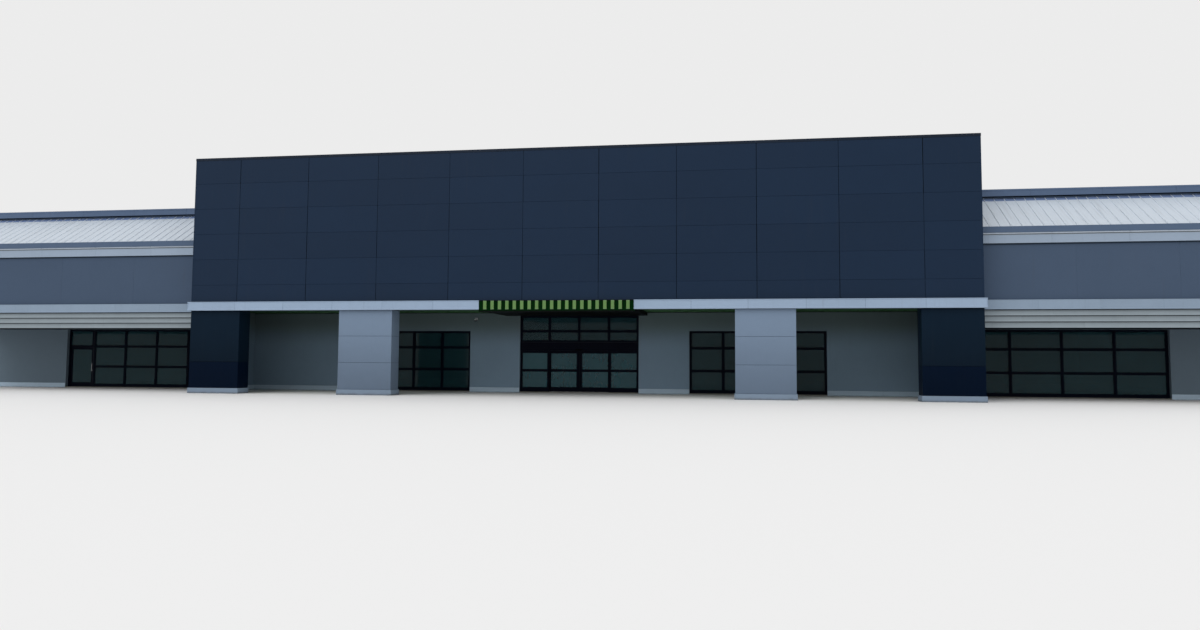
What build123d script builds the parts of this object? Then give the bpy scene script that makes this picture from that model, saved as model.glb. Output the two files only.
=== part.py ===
from build123d import *
import os

# A supermarket with a tall front block between two lower wings, as a scale model at 1:2.
# Every length is half of the real one, in millimetres.
# X runs along the front, Y from the street into the building and Z up. Depths are set out from the
# face of the tall block, and the origin lies on the ground in the middle of the footprint.

# Walls, floor and roof
HALF_LENGTH = 17000.0
BUILDING_D = 18000.0
WALL_T = 150.0
FLOOR_T = 25.0
ROOF_Z = 4300.0
ROOF_T = 75.0
PARAPET_TOP = 4770.0
COPING_T = 30.0
COPING_LIP = 15.0

# Tall front block
BAY_W = 1735.0
END_BAY_W = 1163.0
BAY_COUNT = 9
BLOCK_D = 3750.0
BLOCK_TOP = 5628.0
BLOCK_COPING_T = 20.0
BLOCK_COPING_LIP = 10.0
BLOCK_PARAPET_H = 200.0

# Arcade under the block
ARCADE_D = 2750.0
ARCADE_CEILING_Z = 2040.0
CEILING_T = 50.0
ARCADE_END_T = 60.0
BAND_Z = 1953.0
BAND_H = 205.0
BAND_PROUD = 85.0
BAND_END_PROUD = 40.0
PIER_D = 450.0
GREY_PIER_W = 1280.0
GREY_PIER_X = (-4575.0, 4510.0)
END_PIER_W = 1245.0
PLINTH_H = 125.0
PLINTH_PROUD = 25.0
STRIP_T = 15.0

# Striped canopy
CANOPY_X = -83.0
CANOPY_W = 3504.0
CANOPY_Z = 1906.0
CANOPY_PROUD = 100.0
SOFFIT_Z = 1955.0
SOFFIT_LAP = 115.0
SLAT_COUNT = 20
SLAT_END_GAPS = (104.0, 83.0)
SLAT_W = 74.0
SLAT_T = 25.0
SLAT_FOOT_Z = 1955.0
SLAT_TOP_DROP = 11.0

# Storefront frames and glass
MULLION_W = 50.0
BAR_H = 40.0
SILL_H = 75.0
HEAD_H = 40.0
FRAME_D = 50.0
GLASS_T = 8.0
BLOCK_REVEAL = 60.0
WING_REVEAL = 90.0
BLOCK_HEAD_Z = 1567.0
BLOCK_BAR_Z = (578.0, 1140.0)
BLOCK_LIGHTS = 4
LEFT_WINDOW_X = -4457.0
LEFT_WINDOW_W = 3090.0
RIGHT_WINDOW_X = 4370.0
RIGHT_WINDOW_W = 3320.0
WING_HEAD_Z = 1600.0
WING_BAR_Z = (584.0, 1137.0)
LEFT_WALL_W = 2460.0
LEFT_EVEN_LIGHTS = 4
LEFT_INNER_LIGHT_W = 1005.0
DOOR_BAY_W = 784.0
RIGHT_WALL_W = 3348.0
RIGHT_EVEN_LIGHTS = 3
RIGHT_INNER_LIGHT_W = 1255.0

# Sliding entrance
ENTRANCE_X = -75.0
ENTRANCE_W = 3050.0
ENTRANCE_LIGHTS = 4
DOOR_HEAD_Z = 1065.0
HEADER_H = 215.0
HEADER_D = 130.0
HEADER_Y = 45.0
TRANSOM_BAR_Z = 1560.0
DOOR_BAR_Z = 566.0
BOTTOM_RAIL_H = 105.0
TOP_RAIL_H = 50.0
LEAF_D = 40.0
LEAF_STILE_W = 60.0
LEAF_LAP = 40.0
SLIDE_GAP = 6.0
FLOOR_GAP = 5.0
SEAT_GAP = 0.3
HANGER_W = 80.0
HANGER_D = 20.0
HANGER_INSET = 150.0

# Swing door of the left wing
JAMB_W = 50.0
SWING_LEAF_D = 22.0
SWING_STILE_W = 50.0
SWING_HINGE_GAP = 10.0
SWING_AXIS_INSET = 12.0
PIVOT_R = 5.0

# Wing fascia and sloped roof
WING_FACE_Y = 600.0
FASCIA_Z = 1564.0
WING_CEILING_Z = 1610.0
LAP_COUNT = 3
LAP_THIN = 4.0
LAP_THICK = 32.0
CORNICE_Z = 3365.0
CORNICE_PROUD = 50.0
CROWN_H = 27.0
CROWN_PROUD = 72.0
WING_BAND_PROUD = 50.0
GUTTER_Z = 3587.0
GUTTER_D = 90.0
GUTTER_T = 12.0
EAVE_Z = 3716.0
RIDGE_Y = 2000.0
RIDGE_Z = 4575.0
SLOPE_T = 60.0

# Dome on the shop front
DOME_X = -2750.0
DOME_Z = 1850.0
DOME_R = 45.0
DOME_PLATE = 110.0
DOME_PLATE_T = 15.0
DOME_ARM_R = 16.0
DOME_REACH = 90.0

# Lines that several pieces share
HALF_BLOCK = (2 * END_BAY_W + BAY_COUNT * BAY_W) / 2
HALF_INSIDE = HALF_LENGTH - WALL_T
SHOP_Y = ARCADE_D
INSIDE_Y = SHOP_Y + WALL_T
REAR_Y = BUILDING_D - WALL_T
MID_Y = (BUILDING_D + COPING_LIP - CANOPY_PROUD - SLAT_T) / 2
DECK_TOP = ROOF_Z + ROOF_T
BLOCK_Z = BAND_Z + BAND_H
BLOCK_WALL_TOP = BLOCK_TOP - BLOCK_COPING_T
BLOCK_SIDE_X = HALF_BLOCK - WALL_T
ARCADE_END_X = HALF_BLOCK - ARCADE_END_T
END_PIER_X = HALF_BLOCK - END_PIER_W
CANOPY_EDGES = (CANOPY_X - CANOPY_W / 2, CANOPY_X + CANOPY_W / 2)
SOFFIT_EDGES = (CANOPY_EDGES[0] - SOFFIT_LAP, CANOPY_EDGES[1])
WING_X = (HALF_BLOCK, HALF_LENGTH)
SLOPE = (RIDGE_Z - EAVE_Z) / (RIDGE_Y - WING_FACE_Y)
FASCIA_BACK_Y = WING_FACE_Y + WALL_T

BLOCK_FRAME_Y = (SHOP_Y + BLOCK_REVEAL, SHOP_Y + BLOCK_REVEAL + FRAME_D)
WING_FRAME_Y = (SHOP_Y + WING_REVEAL, SHOP_Y + WING_REVEAL + FRAME_D)
LEFT_WINDOW = (LEFT_WINDOW_X - LEFT_WINDOW_W / 2, LEFT_WINDOW_X + LEFT_WINDOW_W / 2)
RIGHT_WINDOW = (RIGHT_WINDOW_X - RIGHT_WINDOW_W / 2, RIGHT_WINDOW_X + RIGHT_WINDOW_W / 2)
ENTRANCE = (ENTRANCE_X - ENTRANCE_W / 2, ENTRANCE_X + ENTRANCE_W / 2)
ENTRANCE_LIGHT_W = ENTRANCE_W / ENTRANCE_LIGHTS
LEFT_WING_EDGE_X = LEFT_WALL_W - HALF_LENGTH
RIGHT_WING_EDGE_X = HALF_LENGTH - RIGHT_WALL_W
LEFT_WING_WINDOW = (LEFT_WING_EDGE_X, -HALF_BLOCK)
RIGHT_WING_WINDOW = (HALF_BLOCK, RIGHT_WING_EDGE_X)
DOOR_POST_X = LEFT_WING_EDGE_X + DOOR_BAY_W
LOCK_POST_X = DOOR_POST_X - MULLION_W / 2
SWING_LEAF_X = (LEFT_WING_EDGE_X + JAMB_W + SWING_HINGE_GAP, LOCK_POST_X - SLIDE_GAP)
SWING_HEAD_Z = WING_BAR_Z[1] - BAR_H / 2
HEADER_TOP = DOOR_HEAD_Z + HEADER_H
LEAF_Y = (BLOCK_FRAME_Y[1] + SLIDE_GAP, BLOCK_FRAME_Y[1] + SLIDE_GAP + LEAF_D)
LEAF_Z = (FLOOR_T + FLOOR_GAP, DOOR_HEAD_Z - SLIDE_GAP)


def span(x, y, z):
    """A plain box between three pairs of coordinates."""
    size = [high - low for low, high in (x, y, z)]
    centre = [(low + high) / 2 for low, high in (x, y, z)]
    return Pos(centre[0], centre[1] - MID_Y, centre[2]) * Box(*size)


def profile(points, x):
    """A prism along X with an outline of (Y, Z) points."""
    outline = Polygon(*[(y - MID_Y, z) for y, z in points], align=None)
    return extrude(Plane.YZ.offset(x[0]) * outline, amount=x[1] - x[0], dir=(1, 0, 0))


def upright(x, y, z, radius):
    """A round pin that stands between two heights."""
    middle = Pos(x, y - MID_Y, (z[0] + z[1]) / 2)
    return middle * Cylinder(radius, z[1] - z[0])


def group(pieces):
    """Like pieces that share one node, each a solid of its own."""
    return Compound([solid for piece in pieces for solid in piece.solids()])


def both_wings(right):
    """A piece of the right wing with its mirror image on the left."""
    return group([mirror(right, about=Plane.YZ), right])


def even_lines(edges, count):
    """The lines that divide a window into equal lights."""
    step = (edges[1] - edges[0]) / count
    return [edges[0] + step * i for i in range(count + 1)]


def clear_spans(lines, bar, first, last):
    """The clear widths between bars that are centred on the inner lines."""
    lows = [lines[0] + first] + [line + bar / 2 for line in lines[1:-1]]
    highs = [line - bar / 2 for line in lines[1:-1]] + [lines[-1] - last]
    return list(zip(lows, highs))


def lights(x_lines, z_lines, post, sill, head):
    """The clear lights of a frame, each as a pair of X and a pair of Z."""
    columns = clear_spans(x_lines, MULLION_W, post, post)
    rows = clear_spans(z_lines, BAR_H, sill, head)
    return [(x, z) for x in columns for z in rows]


def lattice(x_lines, z_lines, y, post=MULLION_W, sill=SILL_H, head=HEAD_H):
    """A flat frame with a mullion on each X line and a bar on each Z line."""
    frame = span((x_lines[0], x_lines[-1]), y, (z_lines[0], z_lines[-1]))
    for x, z in lights(x_lines, z_lines, post, sill, head):
        frame -= span(x, y, z)
    return frame


def sheet(x, frame_y, z):
    """A sheet of glass that lies against the back of a frame."""
    return span(x, (frame_y[1], frame_y[1] + GLASS_T), z)


def panes(x_lines, z_lines, y, post, sill, head):
    """Separate panes in the lights of a frame, in the middle of its depth."""
    middle = (y[0] + y[1]) / 2
    pane_y = (middle - GLASS_T / 2, middle + GLASS_T / 2)
    return [span(x, pane_y, z) for x, z in lights(x_lines, z_lines, post, sill, head)]


def floor_slab():
    """The floor, which runs out under each glazed opening."""
    slab = span((-HALF_INSIDE, HALF_INSIDE), (INSIDE_Y, REAR_Y), (0, FLOOR_T))
    for x in (LEFT_WING_WINDOW, LEFT_WINDOW, ENTRANCE, RIGHT_WINDOW, RIGHT_WING_WINDOW):
        slab += span(x, (SHOP_Y, INSIDE_Y), (0, FLOOR_T))
    return slab


def shop_wall(x, window):
    """A wall of the shop front behind the arcade, with its window cut out."""
    wall = span(x, (SHOP_Y, INSIDE_Y), (0, ROOF_Z))
    return wall - span(window, (SHOP_Y, INSIDE_Y), (0, BLOCK_HEAD_Z))


def wing_walls():
    """The walls beside the window rows of the two wings."""
    left = span((-HALF_INSIDE, LEFT_WING_EDGE_X), (SHOP_Y, INSIDE_Y), (0, ROOF_Z))
    right = span((RIGHT_WING_EDGE_X, HALF_INSIDE), (SHOP_Y, INSIDE_Y), (0, ROOF_Z))
    return group([left, right])


def walls_over_openings():
    """The walls above the window rows of the wings and above the entrance."""
    z = (WING_HEAD_Z, ROOF_Z)
    wings = [span(x, (SHOP_Y, INSIDE_Y), z) for x in (LEFT_WING_WINDOW, RIGHT_WING_WINDOW)]
    return group(wings + [span(ENTRANCE, (SHOP_Y, INSIDE_Y), (SOFFIT_Z, ROOF_Z))])


def party_walls():
    """The plain end walls of the building."""
    return both_wings(span((HALF_INSIDE, HALF_LENGTH), (SHOP_Y, BUILDING_D), (0, PARAPET_TOP)))


def rear_wall():
    """The plain back wall, between the end walls."""
    return span((-HALF_INSIDE, HALF_INSIDE), (REAR_Y, BUILDING_D), (0, PARAPET_TOP))


def main_deck():
    """The flat roof, which reaches forward to the ridge of each wing."""
    deck = span((-HALF_INSIDE, HALF_INSIDE), (SHOP_Y, REAR_Y), (ROOF_Z, DECK_TOP))
    for x in ((-HALF_INSIDE, -HALF_BLOCK), (HALF_BLOCK, HALF_INSIDE)):
        deck += span(x, (RIDGE_Y, SHOP_Y), (ROOF_Z, DECK_TOP))
    return deck


def block_deck():
    """The roof of the tall block, below the top of its walls."""
    top = BLOCK_WALL_TOP - BLOCK_PARAPET_H
    return span((-BLOCK_SIDE_X, BLOCK_SIDE_X), (WALL_T, BLOCK_D - WALL_T), (top - ROOF_T, top))


def roof_decks():
    """The flat roofs of the building and of its tall block."""
    return group([main_deck(), block_deck()])


def parapet_coping():
    """The cap on the end walls and the back wall."""
    z = (PARAPET_TOP, PARAPET_TOP + COPING_T)
    front = RIDGE_Y + WALL_T
    outer_x = HALF_LENGTH + COPING_LIP
    inner_x = HALF_INSIDE - COPING_LIP
    cap = span((-outer_x, outer_x), (front, BUILDING_D + COPING_LIP), z)
    return cap - span((-inner_x, inner_x), (front, REAR_Y - COPING_LIP), z)


def block_front_wall():
    """The tall panelled front."""
    return span((-HALF_BLOCK, HALF_BLOCK), (0, WALL_T), (BLOCK_Z, BLOCK_WALL_TOP))


def block_side_walls():
    """The sides of the tall block, which step up over the flat roof."""
    outline = [
        (WALL_T, BLOCK_Z),
        (SHOP_Y, BLOCK_Z),
        (SHOP_Y, DECK_TOP),
        (BLOCK_D, DECK_TOP),
        (BLOCK_D, BLOCK_WALL_TOP),
        (WALL_T, BLOCK_WALL_TOP),
    ]
    return both_wings(profile(outline, (BLOCK_SIDE_X, HALF_BLOCK)))


def block_rear_wall():
    """The back of the tall block, which stands on the flat roof."""
    y = (BLOCK_D - WALL_T, BLOCK_D)
    return span((-BLOCK_SIDE_X, BLOCK_SIDE_X), y, (DECK_TOP, BLOCK_WALL_TOP))


def block_coping():
    """The cap all round the top of the tall block."""
    z = (BLOCK_WALL_TOP, BLOCK_TOP)
    lip = BLOCK_COPING_LIP
    inner_x = BLOCK_SIDE_X - lip
    cap = span((-HALF_BLOCK - lip, HALF_BLOCK + lip), (-lip, BLOCK_D + lip), z)
    return cap - span((-inner_x, inner_x), (WALL_T + lip, BLOCK_D - WALL_T - lip), z)


def band_beam(x_inner, side):
    """The pale band on one side of the canopy, with its return along the end of the block."""
    z = (BAND_Z, BLOCK_Z)
    x_outer = side * (HALF_BLOCK + BAND_END_PROUD)
    front = span(sorted((x_inner, x_outer)), (-BAND_PROUD, 0), z)
    beam = span(sorted((x_inner, side * HALF_BLOCK)), (0, WALL_T), z)
    end_y = (0, WING_FACE_Y - WING_BAND_PROUD)
    end = span(sorted((side * HALF_BLOCK, x_outer)), end_y, z)
    return front + beam + end


def block_bands():
    """The pale bands left and right of the canopy."""
    return group([band_beam(CANOPY_EDGES[0], -1), band_beam(CANOPY_EDGES[1], 1)])


def ceiling(x, z_low=ARCADE_CEILING_Z):
    """A stretch of the arcade's ceiling."""
    return span(x, (WALL_T, SHOP_Y), (z_low, ARCADE_CEILING_Z + CEILING_T))


def canopy():
    """The dark box behind the slats, with the lower ceiling that runs back from it to the doors."""
    box = span(CANOPY_EDGES, (-CANOPY_PROUD, WALL_T), (CANOPY_Z, BLOCK_Z))
    return box + ceiling(SOFFIT_EDGES, SOFFIT_Z)


def canopy_slats():
    """The row of upright slats on the face of the canopy."""
    first = CANOPY_EDGES[0] + SLAT_END_GAPS[0] + SLAT_W / 2
    last = CANOPY_EDGES[1] - SLAT_END_GAPS[1] - SLAT_W / 2
    y = (-CANOPY_PROUD - SLAT_T, -CANOPY_PROUD)
    z = (SLAT_FOOT_Z, BLOCK_Z - SLAT_TOP_DROP)
    centres = even_lines((first, last), SLAT_COUNT - 1)
    return group([span((x - SLAT_W / 2, x + SLAT_W / 2), y, z) for x in centres])


def arcade_ceilings():
    """The ceiling of the arcade on both sides of the entrance."""
    left = ceiling((-ARCADE_END_X, SOFFIT_EDGES[0]))
    right = ceiling((SOFFIT_EDGES[1], ARCADE_END_X))
    return group([left, right])


def pier(x):
    """A broad pier, stepped at the top to carry the band and meet the ceiling."""
    outline = [
        (0, PLINTH_H),
        (PIER_D, PLINTH_H),
        (PIER_D, ARCADE_CEILING_Z),
        (WALL_T, ARCADE_CEILING_Z),
        (WALL_T, BAND_Z),
        (0, BAND_Z),
    ]
    return profile(outline, x)


def grey_piers():
    """The two pale piers of the arcade."""
    half = GREY_PIER_W / 2
    return group([pier((x - half, x + half)) for x in GREY_PIER_X])


def end_piers():
    """The two dark piers at the ends of the block."""
    return both_wings(pier((END_PIER_X, HALF_BLOCK)))


def arcade_end_walls():
    """The walls that close the arcade behind the end piers."""
    return both_wings(span((ARCADE_END_X, HALF_BLOCK), (PIER_D, SHOP_Y), (0, BLOCK_Z)))


def plinths():
    """The blocks that the four piers stand on."""
    z = (0, PLINTH_H)
    reach = GREY_PIER_W / 2 + PLINTH_PROUD
    y = (-PLINTH_PROUD, PIER_D + PLINTH_PROUD)
    grey = [span((x - reach, x + reach), y, z) for x in GREY_PIER_X]
    end_x = (END_PIER_X - PLINTH_PROUD, HALF_BLOCK + PLINTH_PROUD)
    ends = both_wings(span(end_x, (-PLINTH_PROUD, PIER_D), z))
    return group(grey + [ends])


def base_strips():
    """The pale strips along the foot of the walls."""
    z = (0, PLINTH_H)
    y = (SHOP_Y - STRIP_T, SHOP_Y)
    side_x = (ARCADE_END_X - STRIP_T, ARCADE_END_X)
    side = span(side_x, (PIER_D, SHOP_Y), z)
    left_corner = mirror(side, about=Plane.YZ) + span((-ARCADE_END_X, LEFT_WINDOW[0]), y, z)
    right_corner = side + span((RIGHT_WINDOW[1], ARCADE_END_X), y, z)
    inner = [span((LEFT_WINDOW[1], ENTRANCE[0]), y, z), span((ENTRANCE[1], RIGHT_WINDOW[0]), y, z)]
    wings = [
        span((-HALF_LENGTH, LEFT_WING_EDGE_X), y, z),
        span((RIGHT_WING_EDGE_X, HALF_LENGTH), y, z),
    ]
    rear = span((-HALF_LENGTH, HALF_LENGTH), (BUILDING_D, BUILDING_D + STRIP_T), z)
    return group([left_corner, right_corner, rear] + inner + wings)


def side_base_strips():
    """The pale strips along the foot of the end walls, which lap the corners."""
    x = (HALF_LENGTH, HALF_LENGTH + STRIP_T)
    return both_wings(span(x, (SHOP_Y - STRIP_T, BUILDING_D + STRIP_T), (0, PLINTH_H)))


def under_slope(y):
    """The height of the underside of a wing's sloped roof at a depth."""
    return EAVE_Z - SLOPE_T + SLOPE * (y - WING_FACE_Y)


def wing_fascias():
    """The broad fascia walls over the covered walks."""
    outline = [
        (WING_FACE_Y, FASCIA_Z),
        (FASCIA_BACK_Y, FASCIA_Z),
        (FASCIA_BACK_Y, under_slope(FASCIA_BACK_Y)),
        (WING_FACE_Y, under_slope(WING_FACE_Y)),
    ]
    return both_wings(profile(outline, WING_X))


def wing_sidings():
    """The lapped boards along the lower edge of each fascia."""
    step = (BAND_Z - FASCIA_Z) / LAP_COUNT
    outline = [(WING_FACE_Y, FASCIA_Z)]
    for i in range(LAP_COUNT):
        foot = FASCIA_Z + step * i
        outline += [(WING_FACE_Y - LAP_THICK, foot), (WING_FACE_Y - LAP_THIN, foot + step)]
    outline.append((WING_FACE_Y, BAND_Z))
    return both_wings(profile(outline, WING_X))


def wing_bands():
    """The pale bands of the wings, in line with those of the block."""
    return both_wings(span(WING_X, (WING_FACE_Y - WING_BAND_PROUD, WING_FACE_Y), (BAND_Z, BLOCK_Z)))


def wing_cornices():
    """The pale cornices below the gutters, each with a crown along its top."""
    crown_z = GUTTER_Z - CROWN_H
    outline = [
        (WING_FACE_Y, CORNICE_Z),
        (WING_FACE_Y, GUTTER_Z),
        (WING_FACE_Y - CROWN_PROUD, GUTTER_Z),
        (WING_FACE_Y - CROWN_PROUD, crown_z),
        (WING_FACE_Y - CORNICE_PROUD, crown_z),
        (WING_FACE_Y - CORNICE_PROUD, CORNICE_Z),
    ]
    return both_wings(profile(outline, WING_X))


def wing_gutters():
    """The open gutters along the eaves."""
    front = WING_FACE_Y - GUTTER_D
    outline = [
        (front, GUTTER_Z),
        (WING_FACE_Y, GUTTER_Z),
        (WING_FACE_Y, EAVE_Z - SLOPE_T),
        (WING_FACE_Y - GUTTER_T, EAVE_Z - SLOPE_T),
        (WING_FACE_Y - GUTTER_T, GUTTER_Z + GUTTER_T),
        (front + GUTTER_T, GUTTER_Z + GUTTER_T),
        (front + GUTTER_T, EAVE_Z),
        (front, EAVE_Z),
    ]
    return both_wings(profile(outline, WING_X))


def wing_roofs():
    """The sloped metal roofs from the gutters up to the ridges."""
    outline = [
        (WING_FACE_Y, EAVE_Z - SLOPE_T),
        (RIDGE_Y, RIDGE_Z - SLOPE_T),
        (RIDGE_Y, RIDGE_Z),
        (WING_FACE_Y, EAVE_Z),
    ]
    return both_wings(profile(outline, WING_X))


def wing_parapets():
    """The upstands along the ridges, on the front edge of the flat roof."""
    return both_wings(span(WING_X, (RIDGE_Y, RIDGE_Y + WALL_T), (DECK_TOP, PARAPET_TOP)))


def wing_ceilings():
    """The ceilings of the covered walks."""
    z = (WING_CEILING_Z, WING_CEILING_Z + CEILING_T)
    return both_wings(span(WING_X, (FASCIA_BACK_Y, SHOP_Y), z))


def wing_end_walls():
    """The end walls over the covered walks, cut to the slope of the roof."""
    foot = WING_CEILING_Z + CEILING_T
    parapet_back = RIDGE_Y + WALL_T
    outline = [
        (FASCIA_BACK_Y, foot),
        (SHOP_Y, foot),
        (SHOP_Y, PARAPET_TOP),
        (parapet_back, PARAPET_TOP),
        (parapet_back, DECK_TOP),
        (RIDGE_Y, DECK_TOP),
        (RIDGE_Y, under_slope(RIDGE_Y)),
        (FASCIA_BACK_Y, under_slope(FASCIA_BACK_Y)),
    ]
    return both_wings(profile(outline, (HALF_INSIDE, HALF_LENGTH)))


def block_window_frames():
    """The frames of the two windows behind the arcade."""
    z_lines = [FLOOR_T, *BLOCK_BAR_Z, BLOCK_HEAD_Z]
    windows = [even_lines(edges, BLOCK_LIGHTS) for edges in (LEFT_WINDOW, RIGHT_WINDOW)]
    return group([lattice(x_lines, z_lines, BLOCK_FRAME_Y) for x_lines in windows])


def left_wing_lines():
    """The mullion lines of the left wing's window, from the door post to the block."""
    even = even_lines((DOOR_POST_X, -HALF_BLOCK - LEFT_INNER_LIGHT_W), LEFT_EVEN_LIGHTS)
    return [LOCK_POST_X] + even[1:] + [-HALF_BLOCK]


def right_wing_lines():
    """The mullion lines of the right wing's window, from the block outwards."""
    even = even_lines((HALF_BLOCK + RIGHT_INNER_LIGHT_W, RIGHT_WING_EDGE_X), RIGHT_EVEN_LIGHTS)
    return [HALF_BLOCK] + even


def wing_window_frames():
    """The window frames of the wings, and the hinge post of the swing door."""
    z_lines = [FLOOR_T, *WING_BAR_Z, WING_HEAD_Z]
    left = lattice(left_wing_lines(), z_lines, WING_FRAME_Y)
    right = lattice(right_wing_lines(), z_lines, WING_FRAME_Y)
    post_x = (LEFT_WING_EDGE_X, LEFT_WING_EDGE_X + JAMB_W)
    post = span(post_x, WING_FRAME_Y, (FLOOR_T, SWING_HEAD_Z))
    return group([left, right, post])


def swing_transom():
    """The glazed frame over the swing door."""
    lines = [LEFT_WING_EDGE_X, LOCK_POST_X]
    heights = [SWING_HEAD_Z, WING_HEAD_Z]
    return lattice(lines, heights, WING_FRAME_Y, post=JAMB_W, sill=BAR_H, head=HEAD_H)


def entrance_header():
    """The deep header that the sliding leaves hang from."""
    y = (SHOP_Y + HEADER_Y, SHOP_Y + HEADER_Y + HEADER_D)
    return span(ENTRANCE, y, (DOOR_HEAD_Z, HEADER_TOP))


def sidelight_lines():
    """The edges of the fixed side panels, left and right of the sliding leaves."""
    left = [ENTRANCE[0], ENTRANCE[0] + ENTRANCE_LIGHT_W]
    right = [ENTRANCE[1] - ENTRANCE_LIGHT_W, ENTRANCE[1]]
    return left, right


def door_frames():
    """The frames over the header, of the two fixed side panels and over the swing door."""
    upper_z = [HEADER_TOP, TRANSOM_BAR_Z, SOFFIT_Z]
    upper = lattice(even_lines(ENTRANCE, ENTRANCE_LIGHTS), upper_z, BLOCK_FRAME_Y, sill=HEAD_H)
    side_z = [FLOOR_T, DOOR_BAR_Z, DOOR_HEAD_Z]
    sides = [
        lattice(x_lines, side_z, BLOCK_FRAME_Y, sill=BOTTOM_RAIL_H, head=TOP_RAIL_H)
        for x_lines in sidelight_lines()
    ]
    return group([upper] + sides + [swing_transom()])


def storefront_glass():
    """The fixed glass: a sheet behind each window and panes in the side panels."""
    block_z = (FLOOR_T, BLOCK_HEAD_Z)
    wing_z = (FLOOR_T, WING_HEAD_Z)
    sheets = [sheet(x, BLOCK_FRAME_Y, block_z) for x in (LEFT_WINDOW, RIGHT_WINDOW)]
    sheets.append(sheet((LOCK_POST_X, -HALF_BLOCK), WING_FRAME_Y, wing_z))
    sheets.append(sheet(RIGHT_WING_WINDOW, WING_FRAME_Y, wing_z))
    transom_x = (LEFT_WING_EDGE_X, LOCK_POST_X - 2 * GLASS_T)
    sheets.append(sheet(transom_x, WING_FRAME_Y, (SWING_HEAD_Z, WING_HEAD_Z)))
    sheets.append(sheet(ENTRANCE, BLOCK_FRAME_Y, (HEADER_TOP, SOFFIT_Z)))
    side_z = [FLOOR_T, DOOR_BAR_Z, DOOR_HEAD_Z]
    for x_lines in sidelight_lines():
        sheets += panes(x_lines, side_z, BLOCK_FRAME_Y, MULLION_W, BOTTOM_RAIL_H, TOP_RAIL_H)
    return group(sheets)


def sliding_leaf_edges(side):
    """The edges of a sliding leaf: it laps its side panel and stops short of the other leaf."""
    meeting = ENTRANCE_X + side * FLOOR_GAP / 2
    outer = ENTRANCE_X + side * (ENTRANCE_LIGHT_W + LEAF_LAP)
    return sorted((meeting, outer))


def sliding_leaf(side):
    """The frame of a sliding leaf with its two hangers."""
    edges = sliding_leaf_edges(side)
    z_lines = [LEAF_Z[0], DOOR_BAR_Z, LEAF_Z[1]]
    leaf = lattice(edges, z_lines, LEAF_Y, LEAF_STILE_W, BOTTOM_RAIL_H, TOP_RAIL_H)
    middle = (LEAF_Y[0] + LEAF_Y[1]) / 2
    for x in (edges[0] + HANGER_INSET, edges[1] - HANGER_INSET):
        hanger_x = (x - HANGER_W / 2, x + HANGER_W / 2)
        hanger_y = (middle - HANGER_D / 2, middle + HANGER_D / 2)
        leaf += span(hanger_x, hanger_y, (LEAF_Z[1], DOOR_HEAD_Z - SEAT_GAP))
    return leaf


def sliding_leaf_glass(side):
    """The two panes of a sliding leaf."""
    z_lines = [LEAF_Z[0], DOOR_BAR_Z, LEAF_Z[1]]
    edges = sliding_leaf_edges(side)
    return group(panes(edges, z_lines, LEAF_Y, LEAF_STILE_W, BOTTOM_RAIL_H, TOP_RAIL_H))


def swing_leaf_depth():
    """The front and back of the swing leaf, in the middle of its frame."""
    middle = (WING_FRAME_Y[0] + WING_FRAME_Y[1]) / 2
    return middle - SWING_LEAF_D / 2, middle + SWING_LEAF_D / 2


def swing_leaf():
    """The frame of the swing door with its pivots above and below."""
    z = (FLOOR_T + FLOOR_GAP, SWING_HEAD_Z - SLIDE_GAP)
    y = swing_leaf_depth()
    leaf = lattice(SWING_LEAF_X, z, y, SWING_STILE_W, BOTTOM_RAIL_H, TOP_RAIL_H)
    axis_x = SWING_LEAF_X[0] + SWING_AXIS_INSET
    axis_y = (y[0] + y[1]) / 2
    for pin_z in ((FLOOR_T + SEAT_GAP, z[0]), (z[1], SWING_HEAD_Z - SEAT_GAP)):
        leaf += upright(axis_x, axis_y, pin_z, PIVOT_R)
    return leaf


def swing_leaf_glass():
    """The single pane of the swing door."""
    z = (FLOOR_T + FLOOR_GAP, SWING_HEAD_Z - SLIDE_GAP)
    return group(panes(SWING_LEAF_X, z, swing_leaf_depth(), SWING_STILE_W, BOTTOM_RAIL_H, TOP_RAIL_H))


def wall_dome():
    """The small dome on its arm, beside the entrance."""
    half = DOME_PLATE / 2
    plate_y = (SHOP_Y - DOME_PLATE_T, SHOP_Y)
    plate = span((DOME_X - half, DOME_X + half), plate_y, (DOME_Z - half, DOME_Z + half))
    arm_middle = Pos(DOME_X, SHOP_Y - MID_Y - DOME_REACH / 2, DOME_Z)
    arm = arm_middle * Rot(90, 0, 0) * Cylinder(DOME_ARM_R, DOME_REACH)
    dome = Pos(DOME_X, SHOP_Y - MID_Y - DOME_REACH, DOME_Z) * Sphere(DOME_R)
    return plate + arm + dome


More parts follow.
